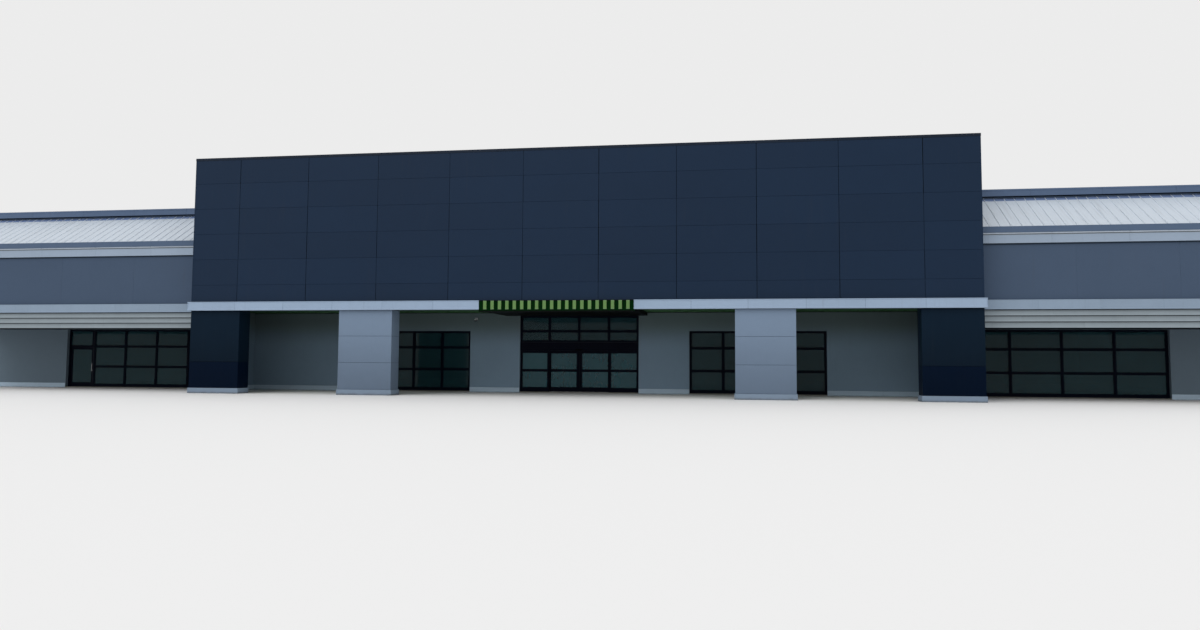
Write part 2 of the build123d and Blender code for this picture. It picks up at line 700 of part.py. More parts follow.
NODES = {
    "floor_slab": floor_slab(),
    "shop_wall_left": shop_wall((-HALF_BLOCK, ENTRANCE[0]), LEFT_WINDOW),
    "shop_wall_right": shop_wall((ENTRANCE[1], HALF_BLOCK), RIGHT_WINDOW),
    "wing_walls": wing_walls(),
    "walls_over_openings": walls_over_openings(),
    "rear_wall": rear_wall(),
    "party_walls": party_walls(),
    "roof_decks": roof_decks(),
    "parapet_coping": parapet_coping(),
    "block_front_wall": block_front_wall(),
    "block_side_walls": block_side_walls(),
    "block_rear_wall": block_rear_wall(),
    "block_coping": block_coping(),
    "block_bands": block_bands(),
    "canopy": canopy(),
    "canopy_slats": canopy_slats(),
    "arcade_ceilings": arcade_ceilings(),
    "grey_piers": grey_piers(),
    "end_piers": end_piers(),
    "plinths": plinths(),
    "arcade_end_walls": arcade_end_walls(),
    "base_strips": base_strips(),
    "side_base_strips": side_base_strips(),
    "wing_fascias": wing_fascias(),
    "wing_sidings": wing_sidings(),
    "wing_bands": wing_bands(),
    "wing_cornices": wing_cornices(),
    "wing_gutters": wing_gutters(),
    "wing_roofs": wing_roofs(),
    "wing_parapets": wing_parapets(),
    "wing_ceilings": wing_ceilings(),
    "wing_end_walls": wing_end_walls(),
    "block_window_frames": block_window_frames(),
    "wing_window_frames": wing_window_frames(),
    "door_frames": door_frames(),
    "entrance_header": entrance_header(),
    "storefront_glass": storefront_glass(),
    "left_sliding_leaf": sliding_leaf(-1),
    "left_sliding_glass": sliding_leaf_glass(-1),
    "right_sliding_leaf": sliding_leaf(1),
    "right_sliding_glass": sliding_leaf_glass(1),
    "swing_leaf": swing_leaf(),
    "swing_leaf_glass": swing_leaf_glass(),
    "wall_dome": wall_dome(),
}

os.makedirs("parts", exist_ok=True)
for name, shape in NODES.items():
    export_step(shape, f"parts/{name}.step")
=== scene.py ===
"""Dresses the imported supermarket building: cladding, trims, roofs, glazing, doors and their finishes.

The building is a scale model at 1:2. Lengths are metres of the model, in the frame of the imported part:
X runs along the front, Y from the street into the building and Z up.
"""

from __future__ import annotations

import logging
import math
import random
from collections.abc import Iterable, Sequence
from dataclasses import dataclass, field, replace
from enum import Enum
from itertools import pairwise

import bmesh
import bpy
from mathutils import Matrix, Vector

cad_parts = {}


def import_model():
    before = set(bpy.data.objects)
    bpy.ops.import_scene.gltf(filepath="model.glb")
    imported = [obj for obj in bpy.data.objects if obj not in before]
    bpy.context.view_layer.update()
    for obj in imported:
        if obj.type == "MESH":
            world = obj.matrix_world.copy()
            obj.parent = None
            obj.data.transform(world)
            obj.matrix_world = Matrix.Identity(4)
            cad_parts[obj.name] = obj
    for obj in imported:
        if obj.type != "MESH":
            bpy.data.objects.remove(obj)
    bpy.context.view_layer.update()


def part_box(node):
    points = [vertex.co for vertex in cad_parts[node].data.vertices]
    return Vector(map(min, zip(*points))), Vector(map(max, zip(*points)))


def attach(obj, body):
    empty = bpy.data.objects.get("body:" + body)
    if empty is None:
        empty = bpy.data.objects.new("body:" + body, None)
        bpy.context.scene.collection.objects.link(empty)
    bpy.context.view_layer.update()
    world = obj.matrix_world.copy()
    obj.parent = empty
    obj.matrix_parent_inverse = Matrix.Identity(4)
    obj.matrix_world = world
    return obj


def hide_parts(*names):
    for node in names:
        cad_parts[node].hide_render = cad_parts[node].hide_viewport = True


LOG = logging.getLogger("supermarket")
BUILDING = "building"
Point = Sequence[float]
Span = Sequence[float]
Colour = tuple[int, int, int]
UNSTRETCHED = (1.0, 1.0, 1.0)
DRAWN_DOWN = (5.0, 5.0, 0.22)
DRAWN_ALONG_SLOPE = (6.0, 0.30, 0.30)
WHITE = (1.0, 1.0, 1.0, 1.0)


# Shader graphs


@dataclass
class Value:
    """A socket of a shader graph that can stand in arithmetic."""

    graph: Graph
    socket: bpy.types.NodeSocket | None

    def _maths(self, operation: str, first: object, second: object) -> Value:
        """Adds one Math node."""
        return self.graph.node("ShaderNodeMath", {"operation": operation}, {0: first, 1: second})

    def __add__(self, other: object) -> Value:
        """self + other"""
        return self._maths("ADD", self, other)

    def __sub__(self, other: object) -> Value:
        """self - other"""
        return self._maths("SUBTRACT", self, other)

    def __rsub__(self, other: object) -> Value:
        """other - self"""
        return self._maths("SUBTRACT", other, self)

    def __mul__(self, other: object) -> Value:
        """self * other"""
        return self._maths("MULTIPLY", self, other)

    __radd__ = __add__
    __rmul__ = __mul__


class Graph:
    """The node graph of one material or of the world."""

    def __init__(self, tree: bpy.types.NodeTree) -> None:
        """Starts from an empty tree."""
        tree.nodes.clear()
        self.tree = tree

    def node(
        self,
        kind: str,
        settings: dict[str, object] | None = None,
        inputs: dict[str | int, object] | None = None,
        output: str | int = 0,
    ) -> Value:
        """Adds a node.

        Args:
            kind: the node's type.
            settings: its own settings, set before its sockets.
            inputs: a number, a colour or a Value for each named or numbered socket.
            output: the socket that is handed on.

        Returns:
            The chosen output, with no socket where the node has none.
        """
        made = self.tree.nodes.new(kind)
        for name, value in (settings or {}).items():
            setattr(made, name, value)
        for name, value in (inputs or {}).items():
            if isinstance(value, Value):
                self.tree.links.new(value.socket, made.inputs[name])
            else:
                made.inputs[name].default_value = value
        return Value(self, made.outputs[output] if len(made.outputs) else None)

    def place(self, stretch: Point = UNSTRETCHED) -> Value:
        """The point on the piece in the part's frame, stretched along the axes.

        Args:
            stretch: a factor for each axis.

        Returns:
            The point.
        """
        point = self.node("ShaderNodeTexCoord", output="Object")
        if stretch == UNSTRETCHED:
            return point
        return self.node("ShaderNodeVectorMath", {"operation": "MULTIPLY"}, {0: point, 1: stretch})

    def height(self) -> Value:
        """The height above the ground."""
        return self.node("ShaderNodeSeparateXYZ", inputs={0: self.place()}, output="Z")

    def noise(self, size: float, detail: float = 3.0, stretch: Point = UNSTRETCHED) -> Value:
        """Soft noise from 0 to 1, with patches of about a size in metres."""
        inputs = {"Vector": self.place(stretch), "Scale": 1.0 / size, "Detail": detail, "Roughness": 0.6}
        return self.node("ShaderNodeTexNoise", inputs=inputs, output="Fac")

    def ramp(self, value: Value, low: float, high: float) -> Value:
        """A smooth rise from 0 at low to 1 at high."""
        inputs = {"Value": value, "From Min": low, "From Max": high}
        return self.node("ShaderNodeMapRange", {"interpolation_type": "SMOOTHSTEP"}, inputs)

    def bump(self, height: Value, distance: float, normal: Value | None = None) -> Value:
        """The normal of a relief, over another relief if one is given.

        Args:
            height: the relief, from 0 to 1.
            distance: its depth in metres.
            normal: the normal of the relief below it.

        Returns:
            The normal.
        """
        inputs = {"Height": height, "Distance": distance}
        if normal is not None:
            inputs["Normal"] = normal
        return self.node("ShaderNodeBump", inputs=inputs)

    def shaded(self, colour: Point | Value, shade: Value | float) -> Value:
        """A colour made lighter or darker by a factor."""
        return self.node("ShaderNodeVectorMath", {"operation": "SCALE"}, {0: colour, "Scale": shade})

    def mixed(self, factor: Value | float, first: object, second: object) -> Value:
        """One colour over another."""
        settings = {"data_type": "RGBA", "clamp_factor": True}
        return self.node("ShaderNodeMix", settings, {0: factor, 6: first, 7: second}, output=2)


def linear(colour: Colour) -> tuple[float, float, float]:
    """A colour as it looks on a screen, from 0 to 255, as linear light."""
    parts = [c / 255 for c in colour]
    return tuple(c / 12.92 if c <= 0.04045 else ((c + 0.055) / 1.055) ** 2.4 for c in parts)


def opaque(colour: Colour) -> tuple[float, float, float, float]:
    """The linear colour with full opacity, for a colour socket."""
    return (*linear(colour), 1.0)


# Finishes


@dataclass(frozen=True)
class Coat:
    """A painted or bare surface with its own unevenness, dirt and grain.

    Args:
        name: the material's name.
        slot: the record's material slot; not used.
        colour: as it looks, 0 to 255.
        roughness: of the shine.
        metallic: 1 for bare metal.
        boards: how far boards or panels differ in tone from each other.
        cloud: how far soft patches differ in tone.
        cloud_size: of those patches, in metres.
        streaks: how strongly rain has drawn soil down the face.
        foot: how high soil has splashed up from the ground, in metres.
        foot_shade: painted shade, how much darker the face is at the ground than at the height where it
            ends.
        foot_shade_top: the height from which no shade is painted.
        soil: the soil's colour.
        grain: height of the surface's grain in metres, with its size beside it.
        wave: height of the slow waves of thin sheet, in metres.
        shine: how far the roughness varies.
        gloss: the strength of its reflections, 0.5 for bare varnish.
    """

    name: str
    slot: str
    colour: Colour
    roughness: float = 0.5
    metallic: float = 0.0
    boards: float = 0.05
    cloud: float = 0.10
    cloud_size: float = 1.4
    streaks: float = 0.15
    foot: float = 0.0
    foot_shade: float = 0.0
    foot_shade_top: float = 1.9
    soil: Colour = (74, 70, 62)
    grain: float = 0.0003
    grain_size: float = 0.006
    wave: float = 0.0
    shine: float = 0.10
    gloss: float = 0.14

    def material(self) -> bpy.types.Material:
        """The material of this name, built the first time it is asked for.

        Returns:
            The material.
        """
        found = bpy.data.materials.get(self.name)
        if found:
            return found
        made = bpy.data.materials.new(self.name)
        made.use_nodes = True
        made.diffuse_color = opaque(self.colour)
        graph = Graph(made.node_tree)
        graph.node("ShaderNodeOutputMaterial", inputs={"Surface": self.shader(graph)})
        return made

    def tone(self, graph: Graph) -> Value:
        """The factor of lightness over the surface.

        Args:
            graph: the graph of the material.

        Returns:
            The factor, about 1.
        """
        board = graph.node("ShaderNodeAttribute", {"attribute_name": "tone"}, output="Fac")
        broad = graph.noise(self.cloud_size, 4.0)
        fine = graph.noise(self.cloud_size / 9, 5.0)
        patches = (broad - 0.5) * (2 * self.cloud) + (fine - 0.5) * self.cloud
        tone = 1 + board * self.boards + patches
        # Painted shade: the face darkens towards the ground, as if less light reached its foot.
        if self.foot_shade:
            tone = tone - (1 - graph.ramp(graph.height(), 0.0, self.foot_shade_top)) * self.foot_shade
        return tone

    def dirt(self, graph: Graph) -> Value | None:
        """Where soil covers the surface, or None where it is clean.

        Args:
            graph: the graph of the material.

        Returns:
            The share of soil, from 0 to 1.
        """
        mask = None
        if self.streaks:
            drawn = graph.ramp(graph.noise(0.35, 5.0, DRAWN_DOWN), 0.52, 0.80)
            patchy = graph.ramp(graph.noise(1.9, 2.0), 0.35, 0.75)
            mask = drawn * patchy * self.streaks
        if self.foot:
            edge = graph.height() + (graph.noise(0.12, 5.0) - 0.5) * self.foot
            splash = (1 - graph.ramp(edge, 0.0, self.foot)) * 0.5
            mask = splash if mask is None else mask + splash
        return mask

    def relief(self, graph: Graph) -> Value | None:
        """The bumps of the surface as a normal, or None where it is smooth.

        Args:
            graph: the graph of the material.

        Returns:
            The normal.
        """
        normal = None
        if self.wave:
            normal = graph.bump(graph.noise(0.45, 1.0), self.wave)
        if self.grain:
            normal = graph.bump(graph.noise(self.grain_size, 3.0), self.grain, normal)
        return normal

    def base(self, graph: Graph) -> Value:
        """The colour over the surface.

        Args:
            graph: the graph of the material.

        Returns:
            The colour.
        """
        clean = graph.shaded(linear(self.colour), self.tone(graph))
        dirt = self.dirt(graph)
        return clean if dirt is None else graph.mixed(dirt, clean, opaque(self.soil))

    def shader(self, graph: Graph) -> Value:
        """The finished surface.

        Args:
            graph: the graph of the material.

        Returns:
            The shader.
        """
        inputs = {
            "Base Color": self.base(graph),
            "Roughness": self.roughness + (graph.noise(0.5, 4.0) - 0.5) * (2 * self.shine),
            "Metallic": self.metallic,
            "Specular IOR Level": self.gloss,
        }
        normal = self.relief(graph)
        if normal is not None:
            inputs["Normal"] = normal
        return graph.node("ShaderNodeBsdfPrincipled", inputs=inputs)


@dataclass(frozen=True)
class Joint(Coat):
    """What shows in the open joints between panels: plain and matt."""

    roughness: float = 0.7
    boards: float = 0.0
    streaks: float = 0.0


@dataclass(frozen=True)
class Render(Coat):
    """Painted sand render, rough to the touch and speckled by its sand."""

    roughness: float = 0.85
    grain: float = 0.0012
    grain_size: float = 0.010
    shine: float = 0.05

    def tone(self, graph: Graph) -> Value:
        """Adds the sand's speckle to the patches."""
        sand = graph.noise(self.grain_size * 1.5, 2.0)
        return super().tone(graph) + (sand - 0.5) * 0.12


@dataclass(frozen=True)
class CeilingShaded(Render):
    """Render that no rain reaches, with painted shade, greened by light bounced off the ceiling, that
    deepens towards the ceiling.

    Args:
        ceiling_shade: the colour of the painted shade, green from the ceiling's bounced light.
        ceiling_shade_z: the heights between which the painted shade deepens.
        ceiling_shade_share: how much of the wall's colour it replaces at its head.
    """

    ceiling_shade: Colour = (70, 79, 63)
    ceiling_shade_z: Span = (1.10, 1.85)
    ceiling_shade_share: float = 0.68

    def base(self, graph: Graph) -> Value:
        """Lays the painted shade over the wall's colour."""
        # Painted shade: darker and greener towards the ceiling.
        share = graph.ramp(graph.height(), *self.ceiling_shade_z) * self.ceiling_shade_share
        return graph.mixed(share, super().base(graph), opaque(self.ceiling_shade))


@dataclass(frozen=True)
class Lapped(Coat):
    """Lapped boards, each painted darker towards the board that laps it: painted shade under each drip.

    Args:
        lap: the height of a board.
        lap_foot: the foot of the lowest board.
        lap_shade: painted shade, how much darker a board is at its top than at its foot.
    """

    lap: float = 0.13
    lap_foot: float = 0.0
    lap_shade: float = 0.40

    def tone(self, graph: Graph) -> Value:
        """Darkens each board towards the one above it, as painted shade.

        Args:
            graph: the graph of the material.

        Returns:
            The factor, about 1.
        """
        boards = (graph.height() - self.lap_foot) * (1 / self.lap)
        share = graph.node("ShaderNodeMath", {"operation": "FRACT"}, {0: boards})
        return super().tone(graph) - share * share * self.lap_shade


@dataclass(frozen=True)
class RoofMetal(Coat):
    """Pale roof sheet, with waves and runs of dust down the slope."""

    roughness: float = 0.36
    boards: float = 0.03
    cloud: float = 0.05
    gloss: float = 0.3

    def dirt(self, graph: Graph) -> Value:
        """Runs of dust that follow the slope."""
        drawn = graph.noise(0.30, 5.0, DRAWN_ALONG_SLOPE)
        return graph.ramp(drawn, 0.48, 0.78) * self.streaks


@dataclass(frozen=True)
class Membrane(Coat):
    """White roof sheet with grey ponds and dust."""

    def dirt(self, graph: Graph) -> Value:
        """Dried ponds with darker rims.

        Args:
            graph: the graph of the material.

        Returns:
            The share of soil, from 0 to 1.
        """
        pond = graph.noise(2.6, 3.0)
        rim = graph.ramp(pond, 0.50, 0.56) * (1 - graph.ramp(pond, 0.57, 0.66))
        dust = graph.ramp(graph.noise(0.5, 6.0), 0.40, 0.80)
        return graph.ramp(pond, 0.50, 0.60) * 0.22 + rim * 0.18 + dust * self.streaks


@dataclass(frozen=True)
class Concrete(Coat):
    """Trowelled concrete with its aggregate."""

    stones_per_metre: float = 90.0

    def tone(self, graph: Graph) -> Value:
        """Adds stones to the patches.

        Args:
            graph: the graph of the material.

        Returns:
            The factor, about 1.
        """
        inputs = {"Vector": graph.place(), "Scale": self.stones_per_metre}
        stones = graph.node("ShaderNodeTexVoronoi", inputs=inputs, output="Distance")
        return super().tone(graph) + (stones - 0.4) * 0.14


@dataclass(frozen=True)
class Glazing(Coat):
    """Tinted glass with a little dust at its foot and slow waves from tempering."""

    cloud: float = 0.15
    streaks: float = 0.06
    foot: float = 0.10
    grain: float = 0.0
    wave: float = 0.0004
    shine: float = 0.06
    opacity: float = 0.80
    clear_roughness: float = 0.02

    def shader(self, graph: Graph) -> Value:
        """The finished glass.

        Args:
            graph: the graph of the material.

        Returns:
            The shader.
        """
        smears = graph.ramp(graph.noise(0.22, 6.0, (1.0, 1.0, 0.5)), 0.45, 0.85)
        inputs = {
            "Base Color": self.base(graph),
            "Roughness": self.clear_roughness + smears * self.shine,
            "Alpha": self.opacity + smears * 0.05,
            "Normal": self.relief(graph),
            "Specular IOR Level": self.gloss,
        }
        return graph.node("ShaderNodeBsdfPrincipled", inputs=inputs)


@dataclass(frozen=True)
class Brushed(Coat):
    """Anodised or stainless metal with fine brush lines."""

    lines: Point = (0.02, 1.0, 1.0)

    def relief(self, graph: Graph) -> Value:
        """Brush lines along the piece."""
        return graph.bump(graph.noise(0.0015, 2.0, self.lines), self.grain)


NAVY_PANEL = Coat(
    "navy_panel", "navy_panels", (18, 38, 61), 0.42, boards=0.045, cloud=0.06, streaks=0.08, wave=0.0015
)
NAVY_JOINT = Joint("navy_joint", "navy_panels", (4, 9, 15), gloss=0.05)
# The dark piers' coats darken towards the ground: painted shade.
NAVY_PIER = Coat(
    "navy_pier", "navy_panels", (14, 30, 45), 0.42, boards=0.04, streaks=0.06, foot_shade=0.40, wave=0.001,
    gloss=0.04,
)
NAVY_PIER_FOOT = replace(NAVY_PIER, name="navy_pier_foot", colour=(2, 18, 39), foot_shade=0.25)
NAVY_CAP = Coat("navy_cap", "navy_coping", (20, 31, 46), 0.35, streaks=0.12, wave=0.001)
# The grey piers' coat darkens towards the ground: painted shade.
GREY_PANEL = Coat(
    "grey_panel", "grey_panels", (117, 135, 157), 0.45, boards=0.02, cloud=0.05, streaks=0.10, foot=0.10,
    foot_shade=0.34,
)
GREY_JOINT = Joint("grey_joint", "grey_panels", (62, 74, 88))
PALE_TRIM = Coat(
    "pale_trim", "pale_band", (148, 167, 190), 0.40, boards=0.04, cloud=0.08, cloud_size=0.8, streaks=0.28
)
TRIM_JOINT = Joint("trim_joint", "pale_band", (80, 91, 106))
WING_TRIM = Coat(
    "wing_trim", "pale_band", (135, 152, 171), 0.42, boards=0.03, cloud=0.07, cloud_size=0.9, streaks=0.22
)
CORNICE_TRIM = replace(WING_TRIM, name="cornice_trim", colour=(147, 162, 180), boards=0.04, streaks=0.18)
# Painted highlight: the crown is a lighter copy of the trim, standing in for light on it below the gutter.
CROWN_HIGHLIGHT = Coat("crown_highlight", "pale_band", (184, 194, 205), 0.40, cloud_size=0.9, streaks=0.12)
# Painted shadow: the line under the cornice's crown.
CROWN_SHADOW = Coat("crown_shadow_line", "pale_band", (124, 131, 138), 0.8, streaks=0.0)
SIDING = Lapped("siding", "pale_siding", (138, 149, 156), boards=0.03, streaks=0.16, wave=0.0008)
SLAT = Coat(
    "slat", "canopy_green", (98, 133, 78), 0.40, boards=0.06, cloud=0.07, cloud_size=0.3, streaks=0.14
)
# Painted highlight: the caps are a paler copy of the slat's green, for the lit lips at the top and foot of
# each slat.
SLAT_CAP_HIGHLIGHT = Coat(
    "slat_cap", "canopy_green", (112, 141, 104), 0.45, boards=0.08, cloud_size=0.3, streaks=0.05
)
CANOPY_SKIN = Coat("canopy_skin", "canopy_dark", (1, 34, 7), 0.45, boards=0.04, streaks=0.06, gloss=0.02)
CANOPY_BLACK = Coat(
    "canopy_black", "canopy_dark", (10, 12, 12), 0.55, boards=0.08, streaks=0.05, gloss=0.05
)
GREEN_BOARD = Coat(
    "green_board", "green_ceiling", (64, 103, 66), 0.55, boards=0.09, streaks=0.05, gloss=0.08
)
GREEN_GROOVE = Joint("green_groove", "green_ceiling", (16, 28, 16), 0.8, gloss=0.05)
WALK_BOARD = Coat("walk_board", "walk_ceiling", (22, 27, 34), 0.55, boards=0.07, streaks=0.05, gloss=0.05)
WALK_GROOVE = Joint("walk_groove", "walk_ceiling", (8, 10, 13), 0.8, gloss=0.05)
FLASHING = Coat("flashing", "blue_flashing", (80, 97, 121), 0.38, streaks=0.16, wave=0.001)
RIDGE_METAL = replace(FLASHING, name="ridge_metal", colour=(84, 102, 129))
RIDGE_SHADE = Coat("ridge_shade", "blue_flashing", (106, 125, 163), boards=0.06, streaks=0.10)
ROOF_SHEET = RoofMetal("roof_sheet", "metal_roof", (192, 202, 213), streaks=0.20, wave=0.0015)
# Painted highlight: the seams are a lighter copy of the sheet, to offset the shade on their sides.
ROOF_SEAM_HIGHLIGHT = RoofMetal("roof_seam", "metal_roof", (222, 230, 238), streaks=0.10)
ROOF_PLY = Membrane("roof_ply", "roof_membrane", (180, 180, 174), 0.75, boards=0.03, streaks=0.20)
PLY_SEAM = Coat("ply_seam", "roof_membrane", (130, 130, 126), 0.8, streaks=0.1)
CAP_METAL = Coat("cap_metal", "coping", (76, 91, 112), 0.38, wave=0.001)
RECESS = Render("recess_render", "recess_wall", (100, 115, 127), cloud=0.07, streaks=0.12, foot=0.08)
# Painted light: the arcade render is a lighter copy of the recess render, for the brighter light bounced
# into the arcade.
ARCADE = CeilingShaded("arcade_render", "recess_wall", (120, 141, 159), cloud=0.07, streaks=0.12, foot=0.05)
FIELD = Render(
    "field_render", "field_wall", (69, 84, 105), cloud=0.06, streaks=0.18, foot=0.16, boards=0.01
)
FIELD_JOINT = Joint("field_joint", "field_wall", (46, 56, 70), 0.8)
# Painted shadow: the dark strip under the cornice.
CORNICE_SHADOW = Coat("cornice_shadow_strip", "field_wall", (42, 54, 68), 0.6, boards=0.03, streaks=0.08)
PLINTH = Render("plinth_render", "pale_plinth", (123, 139, 157), cloud=0.09, streaks=0.16, foot=0.06)
STRIP = Render("strip_render", "pale_plinth", (168, 187, 203), cloud=0.08, streaks=0.14, foot=0.03)
FLOOR = Concrete("floor_concrete", "concrete", (120, 119, 114), 0.35, cloud=0.12, streaks=0.0, grain=0.0002)
ANODISED = Brushed(
    "anodised", "black_frame", (3, 7, 22), 0.36, boards=0.04, streaks=0.04, grain=0.00005, gloss=0.03
)
GASKET = Coat("gasket", "black_frame", (4, 5, 7), 0.75, streaks=0.0, gloss=0.04)
SEALANT = Coat("sealant", "black_frame", (40, 44, 49), 0.7, cloud=0.15, streaks=0.0)
STEEL = Brushed(
    "steel", "black_frame", (150, 152, 154), 0.28, metallic=1.0, cloud=0.05, streaks=0.0, grain=0.00004
)
GLASS = Glazing("tinted_glass", "dark_glass", (31, 59, 65), gloss=0.12)
ENTRY_GLASS = replace(GLASS, name="entry_glass", colour=(52, 90, 99), gloss=0.16)
DOME_WHITE = Coat("dome_white", "dome_grey", (205, 208, 211), 0.30, streaks=0.10, grain=0.0001, gloss=0.4)
DOME_SMOKE = Coat(
    "dome_smoke", "dome_grey", (20, 22, 25), 0.06, streaks=0.0, grain=0.0, shine=0.02, gloss=0.5
)


# Shapes


@dataclass(frozen=True)
class Box:
    """The space between two corners."""

    low: Vector
    high: Vector

    @classmethod
    def of(cls, node: str) -> Box:
        """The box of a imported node."""
        return cls(*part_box(node))

    @property
    def x(self) -> Span:
        """Its ends along the front."""
        return self.low.x, self.high.x

    @property
    def y(self) -> Span:
        """Its ends from the street inwards."""
        return self.low.y, self.high.y

    @property
    def z(self) -> Span:
        """Its foot and its top."""
        return self.low.z, self.high.z


class Axis(Enum):
    """The three axes, with the two others in order."""

    X = (0, 1, 2)
    Y = (1, 0, 2)
    Z = (2, 0, 1)


class Facing(Enum):
    """The way that a flat run of panels looks: its axis, and the sign along it."""

    STREET = (Axis.Y, -1)
    REAR = (Axis.Y, 1)
    LEFT = (Axis.X, -1)
    RIGHT = (Axis.X, 1)
    DOWN = (Axis.Z, -1)


SIDES = ((-1, Facing.LEFT), (1, Facing.RIGHT))
CLOSED = (0.0, 0.0)
LOW = 0.1  # a frame whose foot is lower stands on the floor, and a usual sill is less tall
WIDE = 2.0  # a wider frame spans more than one bay


def at(axis: Axis, along: float, first: float, second: float) -> Vector:
    """A point from its place along an axis and along the two others."""
    return Vector([value for _, value in sorted(zip(axis.value, (along, first, second)))])


def even(start: float, end: float, pitch: float) -> list[float]:
    """The lines that divide a run evenly, at about a pitch."""
    count = max(1, round(abs(end - start) / pitch))
    return [start + (end - start) * i / count for i in range(count + 1)]


def steps(start: float, end: float, pitch: float) -> list[float]:
    """Lines at an exact pitch from the start, with what is left over at the end.

    Args:
        start: the first line.
        end: the last line, on either side of it.
        pitch: the pitch.

    Returns:
        The lines, sorted.
    """
    count = int(abs(end - start) / pitch - 0.2)
    sign = 1 if end > start else -1
    return sorted([start + sign * pitch * i for i in range(count + 1)] + [end])


def around(middle: float, half: float) -> Span:
    """The two lines at half a width from a middle."""
    return middle - half, middle + half


def inset(span: Span, by: float) -> Span:
    """A span drawn in at both ends, or let out if the amount is negative."""
    return span[0] + by, span[1] - by


def faces_round(verts: Iterable[bmesh.types.BMVert]) -> list[bmesh.types.BMFace]:
    """The faces that meet some points, each once and in a fixed order."""
    return list(dict.fromkeys(face for vert in verts for face in vert.link_faces))


